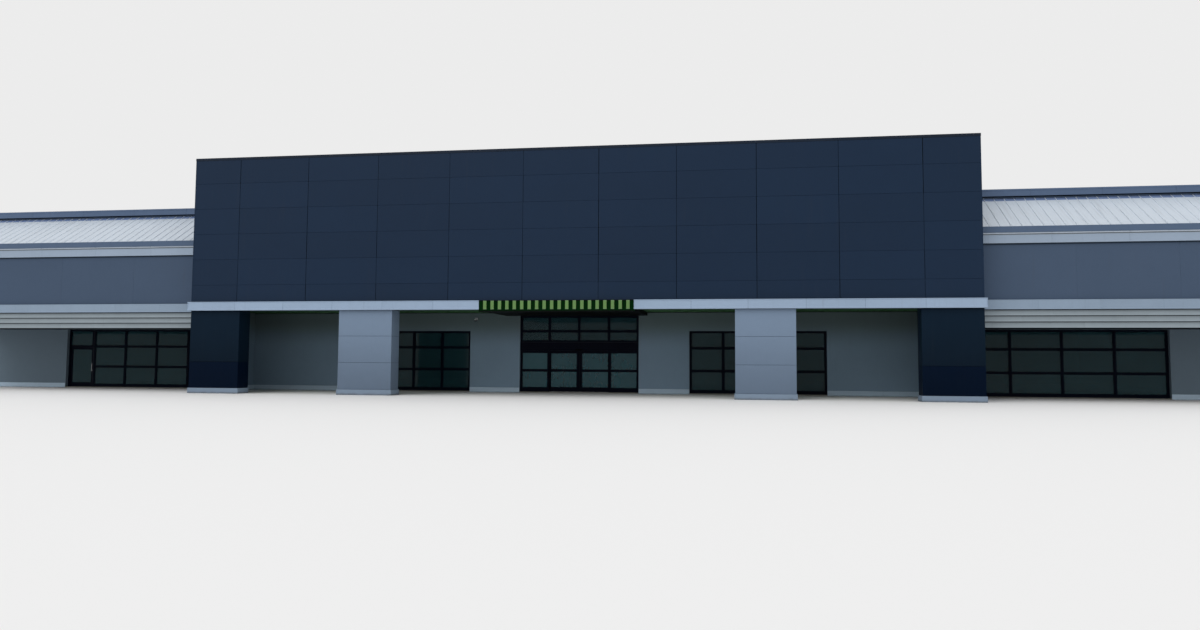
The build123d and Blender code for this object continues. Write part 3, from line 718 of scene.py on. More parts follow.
class Shape:
    """A mesh under construction. Each board or panel has a tone of its own, from -1 to 1."""

    def __init__(self, seed: int = 1) -> None:
        """Starts empty, with a seeded source of tones.

        Args:
            seed: the seed of the tones.
        """
        self.bm = bmesh.new()
        self.tone = self.bm.faces.layers.float.new("tone")
        self.random = random.Random(seed)

    @classmethod
    def of_node(cls, node: str) -> Shape:
        """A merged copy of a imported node, with its flat triangles joined to whole faces.

        Args:
            node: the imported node.

        Returns:
            The copy.
        """
        shape = cls()
        bm = shape.bm
        bm.from_mesh(bpy.data.objects[node].data)
        shape.tone = bm.faces.layers.float.get("tone") or bm.faces.layers.float.new("tone")
        bmesh.ops.remove_doubles(bm, verts=bm.verts, dist=1e-5)
        bmesh.ops.dissolve_limit(bm, angle_limit=math.radians(0.5), verts=bm.verts, edges=bm.edges)
        return shape

    def _tint(self, faces: Iterable[bmesh.types.BMFace]) -> None:
        """Gives the faces of one board its tone.

        Args:
            faces: the faces of the board.
        """
        tone = self.random.uniform(-1, 1)
        for face in faces:
            face[self.tone] = tone

    def _extrude(self, caps: list[bmesh.types.BMFace], way: Point) -> None:
        """Makes a solid of flat faces by pulling a copy along.

        Args:
            caps: the flat faces.
            way: how far and which way the copy goes.
        """
        made = bmesh.ops.extrude_face_region(self.bm, geom=caps, use_keep_orig=True)["geom"]
        moved = [part for part in made if isinstance(part, bmesh.types.BMVert)]
        bmesh.ops.translate(self.bm, verts=moved, vec=way)
        faces = [*caps, *faces_round(moved)]
        bmesh.ops.recalc_face_normals(self.bm, faces=faces)
        self._tint(faces)

    def block(self, x: Span, y: Span, z: Span, turn: Matrix | None = None) -> None:
        """Adds a box with its ends in any order, turned about its middle if asked.

        Args:
            x: its ends along the front.
            y: its front and its back.
            z: its foot and its top.
            turn: the turn about its middle.
        """
        low, high = Vector(map(min, (x, y, z))), Vector(map(max, (x, y, z)))
        size = Matrix.Diagonal((*(high - low), 1.0))
        matrix = Matrix.Translation((low + high) / 2) @ (turn or Matrix()) @ size
        made = bmesh.ops.create_cube(self.bm, size=1.0, matrix=matrix)
        self._tint(faces_round(made["verts"]))

    def prism(self, outline: Sequence[Span], axis: Axis, start: float, end: float) -> None:
        """Adds a bar along an axis with an outline in the two other axes."""
        cap = self.bm.faces.new([self.bm.verts.new(at(axis, start, *point)) for point in outline])
        self._extrude([cap], at(axis, end - start, 0, 0))

    def run(self, outline: Sequence[Span], axis: Axis, lines: Sequence[float], gap: float = 0.003) -> None:
        """Adds a moulding in lengths, with an open joint at each line."""
        for span in pairwise(lines):
            self.prism(outline, axis, *inset(span, gap / 2))

    def tiles(
        self,
        facing: Facing,
        level: float,
        first: Sequence[float],
        second: Sequence[float],
        proud: float,
        gaps: Span = CLOSED,
        buried: float = 0.002,
    ) -> None:
        """Lays panels on a flat face.

        Args:
            facing: the way the face looks.
            level: where the face lies on its axis.
            first: the joint lines along the first of the two other axes.
            second: the joint lines along the second.
            proud: how far the panels stand off the face.
            gaps: the joint widths at the first and at the second lines.
            buried: how far the panels reach into the face.
        """
        axis, sign = facing.value
        depth = sorted((level - sign * buried, level + sign * proud))
        for a in pairwise(first):
            for b in pairwise(second):
                low = at(axis, depth[0], a[0] + gaps[0] / 2, b[0] + gaps[1] / 2)
                high = at(axis, depth[1], a[1] - gaps[0] / 2, b[1] - gaps[1] / 2)
                self.block(*zip(low, high))

    def ring(self, x: Span, y: Span, z: Span, width: float) -> None:
        """Adds an upright rectangular ring, as wide inwards as asked.

        Args:
            x: its outer ends along the front.
            y: its front and its back.
            z: its outer foot and top.
            width: its width, inwards.
        """
        corners = [(x[0], y[0], z[0]), (x[1], y[0], z[0]), (x[1], y[0], z[1]), (x[0], y[0], z[1])]
        sheet = self.bm.faces.new([self.bm.verts.new(corner) for corner in corners])
        sheet.normal_update()
        rims = bmesh.ops.inset_individual(self.bm, faces=[sheet], thickness=width, use_even_offset=True)
        bmesh.ops.delete(self.bm, geom=[sheet], context="FACES_ONLY")
        self._extrude(rims["faces"], (0, y[1] - y[0], 0))

    def rod(
        self, start: Point, end: Point, radius: float, sides: int = 16, tip: float | None = None
    ) -> None:
        """Adds a round bar between two points, tapered if a tip radius is given.

        Args:
            start: the middle of its first end.
            end: the middle of its other end.
            radius: its radius.
            sides: how many sides it has.
            tip: the radius of its other end, if that differs.
        """
        start, end = Vector(start), Vector(end)
        turn = (end - start).to_track_quat("Z", "Y").to_matrix().to_4x4()
        made = bmesh.ops.create_cone(
            self.bm,
            cap_ends=True,
            segments=sides,
            radius1=radius,
            radius2=radius if tip is None else tip,
            depth=(end - start).length,
            matrix=Matrix.Translation((start + end) / 2) @ turn,
        )
        self._tint(faces_round(made["verts"]))

    def soften(self, width: float, segments: int = 1, sharper_than: float = 30.0) -> Shape:
        """Bevels every edge that is sharper than an angle in degrees.

        Args:
            width: the width of the bevel.
            segments: how many faces the bevel has across.
            sharper_than: the angle in degrees.

        Returns:
            The shape itself.
        """
        sharp = [
            edge
            for edge in self.bm.edges
            if len(edge.link_faces) == 2 and edge.calc_face_angle(0) > math.radians(sharper_than)
        ]
        bmesh.ops.bevel(
            self.bm,
            geom=sharp,
            offset=width,
            offset_type="OFFSET",
            segments=segments,
            profile=0.5,
            affect="EDGES",
            material=-1,
            clamp_overlap=True,
        )
        return self

    def piece(
        self,
        name: str,
        finish: Coat,
        body: str = BUILDING,
        replaces: Sequence[str] = (),
        smooth: bool = False,
    ) -> None:
        """Makes the mesh an object of the scene.

        Args:
            name: the piece's name.
            finish: its coat.
            body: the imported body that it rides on.
            replaces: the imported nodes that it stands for.
            smooth: True for round shapes.
        """
        mesh = bpy.data.meshes.new(name)
        for face in self.bm.faces:
            face.smooth = smooth
        self.bm.to_mesh(mesh)
        self.bm.free()
        spare = mesh.attributes.get("custom_normal")
        if spare:
            mesh.attributes.remove(spare)
        mesh.materials.append(finish.material())
        if smooth:
            mesh.set_sharp_from_angle(angle=math.radians(35))
        made = bpy.data.objects.new(name, mesh)
        bpy.context.scene.collection.objects.link(made)
        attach(made, body)
        if replaces:
            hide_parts(*replaces)
        LOG.info("%s: %d faces", name, len(mesh.polygons))


def solids(node: str) -> list[Box]:
    """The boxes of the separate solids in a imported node, from left to right.

    Args:
        node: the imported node.

    Returns:
        A box for each solid.
    """
    shape = Shape.of_node(node)
    waiting = set(shape.bm.verts)
    found = []
    while waiting:
        front = [waiting.pop()]
        points = []
        while front:
            vert = front.pop()
            points.append(vert.co.copy())
            near = {edge.other_vert(vert) for edge in vert.link_edges} & waiting
            waiting -= near
            front.extend(near)
        found.append(Box(*(Vector(map(pick, zip(*points))) for pick in (min, max))))
    shape.bm.free()
    return sorted(found, key=lambda box: (round(box.low.x, 4), round(box.low.z, 4)))


def paint(finish: Coat, *nodes: str) -> None:
    """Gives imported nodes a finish.

    Args:
        finish: the coat.
        nodes: the names of the nodes.
    """
    for node in nodes:
        for place in bpy.data.objects[node].material_slots:
            place.material = finish.material()


def eased(node: str, finish: Coat, edge: float, body: str = BUILDING) -> None:
    """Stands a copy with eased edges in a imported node's place."""
    Shape.of_node(node).soften(edge).piece(node + "_eased", finish, body, [node])


def saddle(ends: Span, feet: Span, seat: float, top: float, metal: float, fall: float) -> list[Span]:
    """The section of a sheet metal cap over a wall.

    Args:
        ends: its outer and its inner face.
        feet: the feet of its outer and of its inner leg.
        seat: the underside of its top.
        top: its top at the outer face.
        metal: the thickness of its legs.
        fall: how far its top falls inwards.

    Returns:
        The outline, across the wall and upright.
    """
    outer, inner = ends
    leg = math.copysign(metal, outer - inner)
    return [
        (outer, feet[0]), (outer - leg, feet[0]), (outer - leg, seat), (inner + leg, seat),
        (inner + leg, feet[1]), (inner, feet[1]), (inner, top - fall), (outer, top),
    ]


# Sub-assemblies


@dataclass
class TallBlock:
    """The panelled block over the arcade, with its cap."""

    end_bay: float = 1.163
    bay: float = 1.735
    bays: int = 9
    row_lines: tuple[float, ...] = (2.5635, 3.173, 3.7825, 4.392, 5.0015)
    roof_row: int = 5
    side_depths: Span = (1.375, 2.75)
    upright_joint: float = 0.010
    front_joints: Span = (0.002, 0.019)
    level_joint: float = 0.003
    proud: float = 0.007
    edge: float = 0.0015
    corner_leg: float = 0.018
    corner_metal: float = 0.002
    cap_length: float = 1.525
    cap_seat: float = 0.004
    cap_face: float = 0.045
    cap_inner_face: float = 0.025
    cap_metal: float = 0.006
    cap_fall: float = 0.002
    cap_reach: float = 0.004
    cap_past_wall: float = 0.03
    splice_half: float = 0.045
    splice_drop: float = 0.002
    splice_metal: float = 0.010
    wall: Box = field(init=False)
    back: Box = field(init=False)

    def __post_init__(self) -> None:
        """Reads the walls' boxes."""
        self.wall = Box.of("block_front_wall")
        self.back = Box.of("block_rear_wall")

    def columns(self) -> list[float]:
        """The upright joint lines of the front and of the back."""
        half = self.wall.high.x
        return [-half, *(-half + self.end_bay + self.bay * i for i in range(self.bays + 1)), half]

    def panels(self) -> None:
        """Lays the metal panels on the four faces. The front's upright joints drift from row to row."""
        gaps = (self.upright_joint, self.level_joint)
        columns = self.columns()
        rows = [self.wall.low.z, *self.row_lines, self.wall.high.z]
        rear_rows = [self.back.low.z, *rows[self.roof_row :]]
        front = Shape(11)
        joints = [self.upright_joint] * len(columns)
        for row in pairwise(rows):
            drift = [front.random.uniform(*self.front_joints) for _ in joints]
            joints = [(old + new) / 2 for old, new in zip(joints, drift)]
            for (left, first), (right, last) in pairwise(zip(columns, joints)):
                ends = (left + first / 2, right - last / 2)
                front.tiles(Facing.STREET, self.wall.low.y, ends, row, self.proud, (0.0, self.level_joint))
        front.soften(self.edge).piece("block_front_panels", NAVY_PANEL)
        lines = [self.wall.low.y + depth for depth in (0.0, *self.side_depths)] + [self.back.high.y]
        bays = ((lines[:2], rows), (lines[1:3], rows[3:]), (lines[2:], rear_rows))
        sides = Shape(12)
        for side, facing in SIDES:
            for bay_lines, bay_rows in bays:
                sides.tiles(facing, side * self.wall.high.x, bay_lines, bay_rows, self.proud, gaps)
        sides.soften(self.edge).piece("block_side_panels", NAVY_PANEL)
        rear = Shape(13)
        rear.tiles(Facing.REAR, self.back.high.y, columns, rear_rows, self.proud, gaps)
        rear.soften(self.edge).piece("block_rear_panels", NAVY_PANEL)
        paint(NAVY_JOINT, "block_front_wall", "block_side_walls", "block_rear_wall")

    def corners(self) -> None:
        """Folds a slim trim round each upright corner."""
        shape = Shape(14)
        leg, out = self.corner_leg, self.proud + self.corner_metal
        faces = ((self.wall.low.y, -1, self.wall.low.z), (self.back.high.y, 1, self.back.low.z))
        for side, _ in SIDES:
            x = side * self.wall.high.x
            for y, sign, foot in faces:
                outer_x, outer_y = x + side * out, y + sign * out
                inner_x, inner_y = x - side * leg, y - sign * leg
                outline = [
                    (outer_x, outer_y), (inner_x, outer_y), (inner_x, y),
                    (x, y), (x, inner_y), (outer_x, inner_y),
                ]
                shape.prism(outline, Axis.Z, foot, self.wall.high.z)
        shape.soften(0.001).piece("block_corner_trims", NAVY_PANEL)

    def cap(self) -> None:
        """Caps the walls in lengths, with a splice plate under each joint."""
        box = Box.of("block_coping")
        thickness = self.back.high.y - self.back.low.y + self.cap_past_wall
        x_lines = even(*inset(box.x, -self.cap_reach), self.cap_length)
        y_lines = even(*inset(box.y, thickness), self.cap_length)
        seat = box.low.z + self.cap_seat
        feet = (seat - self.cap_face, seat - self.cap_inner_face)
        rest = (feet, seat, box.high.z, self.cap_metal, self.cap_fall)
        shape = Shape(15)
        for ends in zip(inset(box.y, -self.cap_reach), inset(box.y, thickness)):
            shape.run(saddle(ends, *rest), Axis.X, x_lines)
        for side, _ in SIDES:
            outer = side * (box.high.x + self.cap_reach)
            shape.run(saddle((outer, outer - side * thickness), *rest), Axis.Y, y_lines)
        shape.soften(0.001).piece("block_cap", NAVY_CAP, replaces=["block_coping"])
        self.splices(box, thickness, x_lines, y_lines)

    def splices(self, box: Box, thickness: float, x_lines: list[float], y_lines: list[float]) -> None:
        """Lays the plates that close the joints of the cap from below.

        Args:
            box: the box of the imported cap.
            thickness: the depth of the cap over the wall.
            x_lines: the cap's joints along the front.
            y_lines: the cap's joints along the sides.
        """
        shape = Shape(16)
        drop = self.splice_drop
        head = box.high.z - 2 * drop
        z = (head - self.splice_metal, head)
        for x in x_lines[1:-1]:
            for y in ((box.low.y, box.low.y + thickness), (box.high.y - thickness, box.high.y)):
                shape.block(around(x, self.splice_half), inset(y, drop), z)
        for y in y_lines[1:-1]:
            for side, _ in SIDES:
                x = (side * (box.high.x - drop), side * (box.high.x - thickness))
                shape.block(x, around(y, self.splice_half), z)
        shape.piece("block_cap_splices", NAVY_JOINT)

    def dress(self) -> None:
        """Builds every piece of the block."""
        self.panels()
        self.corners()
        self.cap()


@dataclass
class StreetBand:
    """The pale band below the block, with a lip along its top and its foot."""

    length: float = 1.22
    joint: float = 0.004
    skin: float = 0.004
    top_lip: float = 0.013
    top_lip_h: float = 0.013
    foot_lip: float = 0.011
    foot_lip_h: float = 0.034
    splay: float = 0.007
    buried: float = 0.002
    room: float = 0.006

    def outline(self, face: float, sign: int, z: Span) -> list[Span]:
        """The section of the trim on a face that looks along a sign.

        Args:
            face: where the face lies.
            sign: the sign of the way that it looks.
            z: the foot and the top of the band.

        Returns:
            The outline, across the face and upright.
        """
        back = face - sign * self.buried
        skin = face + sign * self.skin
        foot = face + sign * self.foot_lip
        top = face + sign * self.top_lip
        return [
            (back, z[0]), (foot, z[0]), (foot, z[0] + self.foot_lip_h),
            (skin, z[0] + self.foot_lip_h + self.splay), (skin, z[1] - self.top_lip_h - self.splay),
            (top, z[1] - self.top_lip_h), (top, z[1]), (back, z[1]),
        ]

    def dress(self) -> None:
        """Runs the trim along the front and back along both ends of the block."""
        shape = Shape(21)
        for band, (side, _) in zip(solids("block_bands"), SIDES):
            inner, outer = sorted(band.x, key=abs)
            front = self.outline(band.low.y, -1, band.z)
            shape.run(front, Axis.X, steps(outer + side * self.top_lip, inner, self.length), self.joint)
            side_y = (band.low.y - self.top_lip + 0.001, Box.of("wing_bands").low.y - self.room)
            shape.run(self.outline(outer, side, band.z), Axis.Y, side_y, 0.0)
        shape.soften(0.0012).piece("street_band_trim", PALE_TRIM)
        paint(TRIM_JOINT, "block_bands")


@dataclass
class Canopy:
    """The dark box over the entrance with its row of green slats."""

    skin_length: float = 0.58
    end_depth: float = 0.25
    board: float = 0.10
    board_length: float = 1.17
    rail: float = 0.016
    slat_cap: float = 0.010
    slat_room: float = 0.003
    slat_fold: float = 0.0025
    front_skin: float = 0.003
    end_skin: float = 0.004

    def dress(self) -> None:
        """Builds the slats, skins the box, runs the rails and boards the ceiling."""
        box, slats = Box.of("canopy"), Box.of("canopy_slats")
        left, right = solids("block_bands")
        x = (left.high.x, right.low.x)
        self.slats()
        skin = Shape(31)
        lengths = even(*x, self.skin_length)
        skin.tiles(Facing.STREET, box.low.y, lengths, box.z, self.front_skin, (0.003, 0.0))
        for end, (_, facing) in zip(x, SIDES):
            skin.tiles(facing, end, (box.low.y, box.low.y + self.end_depth), box.z, self.end_skin)
        skin.soften(0.0008).piece("canopy_skin", CANOPY_SKIN)
        rails = Shape(35)
        for z in ((box.low.z, box.low.z + self.rail), (box.high.z - self.rail, box.high.z)):
            rails.block(x, (slats.low.y + self.slat_cap, box.low.y), z)
        rails.soften(0.0008).piece("canopy_rails", CANOPY_BLACK)
        self.ceiling(box, x)
        paint(CANOPY_BLACK, "canopy")

    def ceiling(self, box: Box, x: Span) -> None:
        """Boards the ceiling under the canopy and the underside of its front.

        Args:
            box: the box of the canopy.
            x: the canopy's ends between the bands.
        """
        soffit = Shape(32)
        depth = Box.of("arcade_ceilings").y
        level = Box.of("door_frames").high.z
        lengths = even(*box.x, self.board_length)
        soffit.tiles(Facing.DOWN, level, lengths, even(*depth, self.board), 0.005, (0.002, 0.004))
        lip = (box.low.y + 0.004, depth[0])
        soffit.tiles(Facing.DOWN, box.low.z, even(*x, self.board_length), lip, 0.003, (0.002, 0.0))
        soffit.soften(0.0012).piece("canopy_soffit_boards", CANOPY_BLACK)

    def slats(self) -> None:
        """Builds each slat as a folded box with a cap at its top and its foot, the caps painted paler as
        highlights.
        """
        shape = Shape(33)
        caps = Shape(34)
        for slat in solids("canopy_slats"):
            shape.block(slat.x, (slat.low.y + 0.0005, slat.high.y), inset(slat.z, self.slat_room))
            for z in ((slat.low.z, slat.low.z + self.slat_cap), (slat.high.z - self.slat_cap, slat.high.z)):
                caps.block(inset(slat.x, -0.001), slat.y, z)
        shape.soften(self.slat_fold, 2).piece("canopy_slats_folded", SLAT, replaces=["canopy_slats"])
        caps.piece("canopy_slat_caps", SLAT_CAP_HIGHLIGHT)


@dataclass
class Arcade:
    """The piers, ceilings, walls and wall feet under the block."""

    courses: Span = (0.745, 1.355)
    joint: float = 0.006
    proud: float = 0.005
    board: float = 0.10
    board_length: float = 2.35
    board_proud: float = 0.006
    board_gaps: Span = (0.002, 0.005)
    trim: float = 0.012
    trim_z: Span = (0.004, 0.018)

    def piers(self) -> None:
        """Wraps the grey piers in three courses of panels, and the dark ones in two with a darker foot."""
        foot, top = Box.of("plinths").high.z, Box.of("block_bands").low.z - 0.002
        self.wrap("grey_piers", "grey_pier_panels", GREY_PANEL, [foot, *self.courses, top])
        self.wrap("end_piers", "end_pier_panels", NAVY_PIER, [self.courses[0], top])
        self.wrap("end_piers", "end_pier_foot_panels", NAVY_PIER_FOOT, [foot, self.courses[0]])
        paint(GREY_JOINT, "grey_piers")
        paint(NAVY_JOINT, "end_piers")

    def wrap(self, node: str, name: str, finish: Coat, lines: Sequence[float]) -> None:
        """Lays panels round each pier of a node, between joint lines.

        Args:
            node: the node of the piers.
            name: the name of the new piece.
            finish: its coat.
            lines: the heights of the joints.
        """
        shape = Shape(41)
        for pier in solids(node):
            for course in pairwise(lines):
                x, y = (inset(ends, -self.proud) for ends in (pier.x, pier.y))
                shape.block(x, y, inset(course, self.joint / 2))
        shape.soften(0.002).piece(name, finish)

    def ceilings(self) -> None:
        """Boards the ceiling on both sides of the canopy, with a trim along the walls."""
        shape = Shape(42)
        trim = Shape(43)
        for ceiling in solids("arcade_ceilings"):
            lengths, lines = even(*ceiling.x, self.board_length), even(*ceiling.y, self.board)
            shape.tiles(Facing.DOWN, ceiling.low.z, lengths, lines, self.board_proud, self.board_gaps)
            z = [ceiling.low.z - drop for drop in self.trim_z]
            trim.block(ceiling.x, (ceiling.high.y - self.trim, ceiling.high.y), z)
        shape.soften(0.0015).piece("arcade_ceiling_boards", GREEN_BOARD)
        trim.soften(0.001).piece("arcade_ceiling_trim", GREEN_GROOVE)
        paint(GREEN_GROOVE, "arcade_ceilings")

    def dress(self) -> None:
        """Builds every piece of the arcade."""
        self.piers()
        self.ceilings()
        eased("plinths", PLINTH, 0.004)
        eased("base_strips", STRIP, 0.003)
        eased("side_base_strips", STRIP, 0.003)
        paint(ARCADE, "shop_wall_left", "shop_wall_right", "walls_over_openings", "arcade_end_walls")
        paint(RECESS, "wing_walls")


@dataclass
class Wings:
    """The two wings over their covered walks: siding, band, field, cornice, gutter and metal roof."""

    laps: int = 3
    siding_length: float = 1.83
    siding_start: float = 0.3
    siding_joint: float = 0.0015
    drip: float = 0.009
    backing: float = 0.006
    backing_drop: float = 0.012
    trim_length: float = 1.525
    field_width: float = 2.0
    field_proud: float = 0.004
    shadow_strip: float = 0.030
    shadow_strip_proud: float = 0.010
    end_trim_proud: Span = (0.014, 0.034)
    end_trim: Span = (0.007, 0.058)
    cornice_out: float = 0.050
    crown: float = 0.027
    crown_shadow_h: float = 0.020
    eave_h: float = 0.060
    lip: float = 0.006
    sleeve_half: float = 0.02
    sleeve_short: float = 0.025
    hanger_half: float = 0.008
    hanger_start: float = 0.15
    stop_half: float = 0.0035
    stop_inset: float = 0.004
    seam_pitch: float = 0.22
    seam_h: float = 0.010
    seam_w: float = 0.004
    fold_h: float = 0.006
    first_seam: float = 0.09
    last_seam: float = 0.03
    seam_short: float = 0.012
    closure: float = 0.090
    closure_room: float = 0.010
    closure_half: float = 0.003
    eave_out: float = 0.022
    eave_drop: float = 0.030
    eave_metal: float = 0.004
    ridge_proud: float = 0.085
    ridge_drop: float = 0.153
    ridge_back: float = 0.060
    ridge_cap: float = 0.008
    ridge_metal: float = 0.005
    ridge_past: float = 0.012
    nose: float = 0.006
    nose_z: Span = (0.030, 0.036)
    hanger_pitch: float = 0.305
    board: float = 0.10
    board_length: float = 2.0
    board_proud: float = 0.006
    board_gaps: Span = (0.002, 0.005)
    inner: float = field(init=False)
    outer: float = field(init=False)
    face: float = field(init=False)

    def __post_init__(self) -> None:
        """Reads the wings' ends and the plane of their fascias."""
        self.inner = Box.of("block_front_wall").high.x
        self.outer = Box.of("party_walls").high.x
        self.face = Box.of("wing_fascias").low.y

    def runs(self, pitch: float) -> list[list[float]]:
        """The joint lines of each wing, in steps from the block outwards, sorted."""
        return [steps(side * self.inner, side * self.outer, pitch) for side, _ in SIDES]

    def siding(self) -> None:
        """Laps the boards, each with a drip and a bead, and with joints that break from row to row."""
        box = Box.of("wing_sidings")
        step = (box.high.z - box.low.z) / self.laps
        front, back = box.low.y, self.face + 0.001
        drip = front + self.drip
        shape = Shape(51)
        for row in range(self.laps):
            foot = box.low.z + step * row
            head = foot + step
            outline = [
                (back, foot + 0.005), (drip, foot + 0.005), (drip, foot - 0.002),
                (front, foot - 0.002), (front, foot + 0.012), (front + 0.004, foot + 0.020),
                (self.face - 0.003, head), (back, head),
            ]
            shift = self.siding_length * row / self.laps + self.siding_start
            for side, _ in SIDES:
                start = side * self.inner
                lines = sorted([start] + steps(start + side * shift, side * self.outer, self.siding_length))
                shape.run(outline, Axis.X, lines, self.siding_joint)
        finish = replace(SIDING, lap=step, lap_foot=box.low.z)
        shape.soften(0.0006).piece("siding_boards", finish, replaces=["wing_sidings"])
        # Painted shade: the backing is black, standing for the dark gap under the siding.
        backing = Shape(52)
        for side, _ in SIDES:
            x = (side * self.inner, side * self.outer)
            backing.block(x, (self.face - self.backing, back), (box.low.z - self.backing_drop, box.high.z))
        backing.piece("siding_shadow_backing", GASKET)

    def bands(self) -> None:
        """Runs the band's trim along the wings."""
        band = Box.of("wing_bands")
        trim = StreetBand(joint=0.0015, skin=0.003, top_lip=0.006, foot_lip=0.008, foot_lip_h=0.022)
        shape = Shape(53)
        for lines in self.runs(trim.length):
            shape.run(trim.outline(band.low.y, -1, band.z), Axis.X, lines, trim.joint)
        shape.soften(0.001).piece("wing_band_trim", WING_TRIM)
        paint(TRIM_JOINT, "wing_bands")

    def fields(self) -> None:
        """Lays the render panels of the field, a dark strip of painted shadow under the cornice, and the
        upright trim where it meets the block.
        """
        band, cornice = Box.of("wing_bands"), Box.of("wing_cornices")
        siding_z = (Box.of("wing_sidings").low.z, band.low.z - 0.001)
        z = (band.high.z, cornice.low.z - self.shadow_strip)
        shape = Shape(54)
        trim = Shape(55)
        shadow_strip = Shape(64)
        for side, _ in SIDES:
            lines = sorted(even(side * self.inner, side * self.outer, self.field_width))
            shape.tiles(Facing.STREET, self.face, lines, z, self.field_proud, (0.001, 0.0))
            # Painted shadow: a dark strip under the cornice stands for the shade there.
            gap_z = (z[1], cornice.low.z)
            shadow_strip.tiles(Facing.STREET, self.face, lines, gap_z, self.shadow_strip_proud, (0.002, 0.0))
            x = [side * (self.inner + reach) for reach in self.end_trim]
            for proud, height in zip(self.end_trim_proud, (inset(z, 0.001), siding_z)):
                trim.block(x, (self.face - proud, self.face), height)
        shape.soften(0.001).piece("fascia_field", FIELD)
        shadow_strip.soften(0.001).piece("cornice_shadow_strip", CORNICE_SHADOW)
        trim.soften(0.0015).piece("fascia_end_trims", RIDGE_METAL)
        paint(FIELD_JOINT, "wing_fascias")

    def cornices(self) -> None:
        """Runs the cornice in lengths, with its crown, painted lighter as a highlight, and a painted shadow
        line below it.
        """
        box = Box.of("wing_cornices")
        face, crown = self.face - self.cornice_out, box.low.y
        foot, crown_z = box.low.z, box.high.z - self.crown
        line_z = crown_z - self.crown_shadow_h
        outline = [
            (face + 0.002, foot - 0.001), (face - 0.008, foot - 0.001),
            (face - 0.008, foot + 0.026), (face - 0.003, foot + 0.032), (face - 0.003, line_z),
            (face + 0.002, line_z),
        ]
        cap = [
            (crown + 0.002, crown_z + 0.002), (crown - 0.003, crown_z + 0.002),
            (crown - 0.003, box.high.z), (crown + 0.002, box.high.z),
        ]
        shape = Shape(56)
        # Painted highlight: the crown is painted lighter than the cornice.
        crowns = Shape(65)
        # Painted shadow: a darker line under the crown.
        line = Shape(57)
        line_y, line_height = (face - 0.0015, face + 0.002), (line_z - 0.001, crown_z + 0.001)
        for lines in self.runs(self.trim_length):
            shape.run(outline, Axis.X, lines)
            crowns.run(cap, Axis.X, lines)
            line.block((lines[0], lines[-1]), line_y, line_height)
        shape.soften(0.001).piece("cornice_trim", CORNICE_TRIM)
        crowns.soften(0.001).piece("cornice_crown", CROWN_HIGHLIGHT)
        line.piece("cornice_shadow_line", CROWN_SHADOW)
        paint(TRIM_JOINT, "wing_cornices")

    def gutters(self) -> None:
        """Adds the rolled lip, the sleeves, the hangers and the stopped ends of the gutters."""
        gutter = Box.of("wing_gutters")
        lip_z = Box.of("wing_roofs").low.z + self.eave_h
        front, back, foot = gutter.low.y, gutter.high.y, gutter.low.z
        shape = Shape(58)
        for lines in self.runs(self.trim_length):
            start, end = lines[0], lines[-1]
            roll = (front + 0.003, lip_z - 0.001)
            shape.rod((start, *roll), (end, *roll), self.lip, 10)
            for x in lines[1:-1]:
                sleeve = around(x, self.sleeve_half)
                shape.block(sleeve, (front - 0.002, front + 0.004), (foot + 0.001, lip_z - 0.004))
                shape.block(sleeve, (front, back - self.sleeve_short), around(foot, 0.002))
            for x in even(start + self.hanger_start, end - self.hanger_start, self.hanger_pitch):
                hanger = around(x, self.hanger_half)
                shape.block(hanger, (front + 0.002, back - 0.004), (lip_z - 0.006, lip_z - 0.003))
            for x in inset((start, end), self.stop_inset):
                stop = around(x, self.stop_half)
                shape.block(stop, (front + 0.001, back - 0.002), (foot, lip_z - 0.002))
        shape.soften(0.0006).piece("gutter_fittings", FLASHING)
        paint(FLASHING, "wing_gutters")

    def roofs(self) -> None:
        """Stands the folded seams on the slopes, lays closure strips coloured as the ridge flashing's
        shadow at the ridge, and edges at the eaves.
        """
        roof = Box.of("wing_roofs")
        eave = Vector((0, roof.low.y, roof.low.z + self.eave_h))
        ridge = Vector((0, roof.high.y, roof.high.z))
        slope = math.atan2(ridge.z - eave.z, ridge.y - eave.y)
        turn = Matrix.Rotation(slope, 4, "X")
        length = (ridge - eave).length - self.seam_short
        up = Vector((0, -math.sin(slope), math.cos(slope)))
        seams = Shape(59)
        # Painted shadow: the ridge's closure strips are coloured as the flashing's shade on the roof.
        shade_closures = Shape(66)
        reach = self.closure * length
        top = ridge - (ridge - eave).normalized() * (reach / 2) + up * 0.001
        for side, _ in SIDES:
            first, last = side * (self.inner + self.first_seam), side * (self.outer - self.last_seam)
            lines = steps(first, last, self.seam_pitch)
            if side < 0:
                lines = lines[1:]
            for x in lines:
                self.seam(seams, Vector((x, 0, 0)) + (eave + ridge) / 2, up, length, turn)
            for start, end in pairwise(lines):
                half = Vector(((end - start) / 2 - self.closure_room, reach / 2, self.closure_half))
                self.slab(shade_closures, Vector(((start + end) / 2, 0, 0)) + top, half, turn)
        # Painted highlight: the seams are lighter than the sheet.
        seams.piece("roof_seams", ROOF_SEAM_HIGHLIGHT)
        shade_closures.piece("ridge_shade_closures", RIDGE_SHADE)
        self.eaves(eave)
        paint(ROOF_SHEET, "wing_roofs")

    def slab(self, shape: Shape, middle: Vector, half: Vector, turn: Matrix) -> None:
        """Adds a block that lies on the slope, from its middle and half its size."""
        shape.block(*zip(middle - half, middle + half), turn)

    def seam(self, shape: Shape, middle: Vector, up: Vector, length: float, turn: Matrix) -> None:
        """Adds one standing seam: a thin web with a folded top.

        Args:
            shape: the shape that it joins.
            middle: the middle of its foot.
            up: the way off the slope.
            length: its length.
            turn: the turn of the slope.
        """
        folds = ((self.seam_w, -0.002), (2 * self.seam_w, self.seam_h - self.fold_h))
        for width, foot in folds:
            half = Vector((width / 2, length / 2, (self.seam_h - foot) / 2))
            self.slab(shape, middle + up * ((foot + self.seam_h) / 2), half, turn)

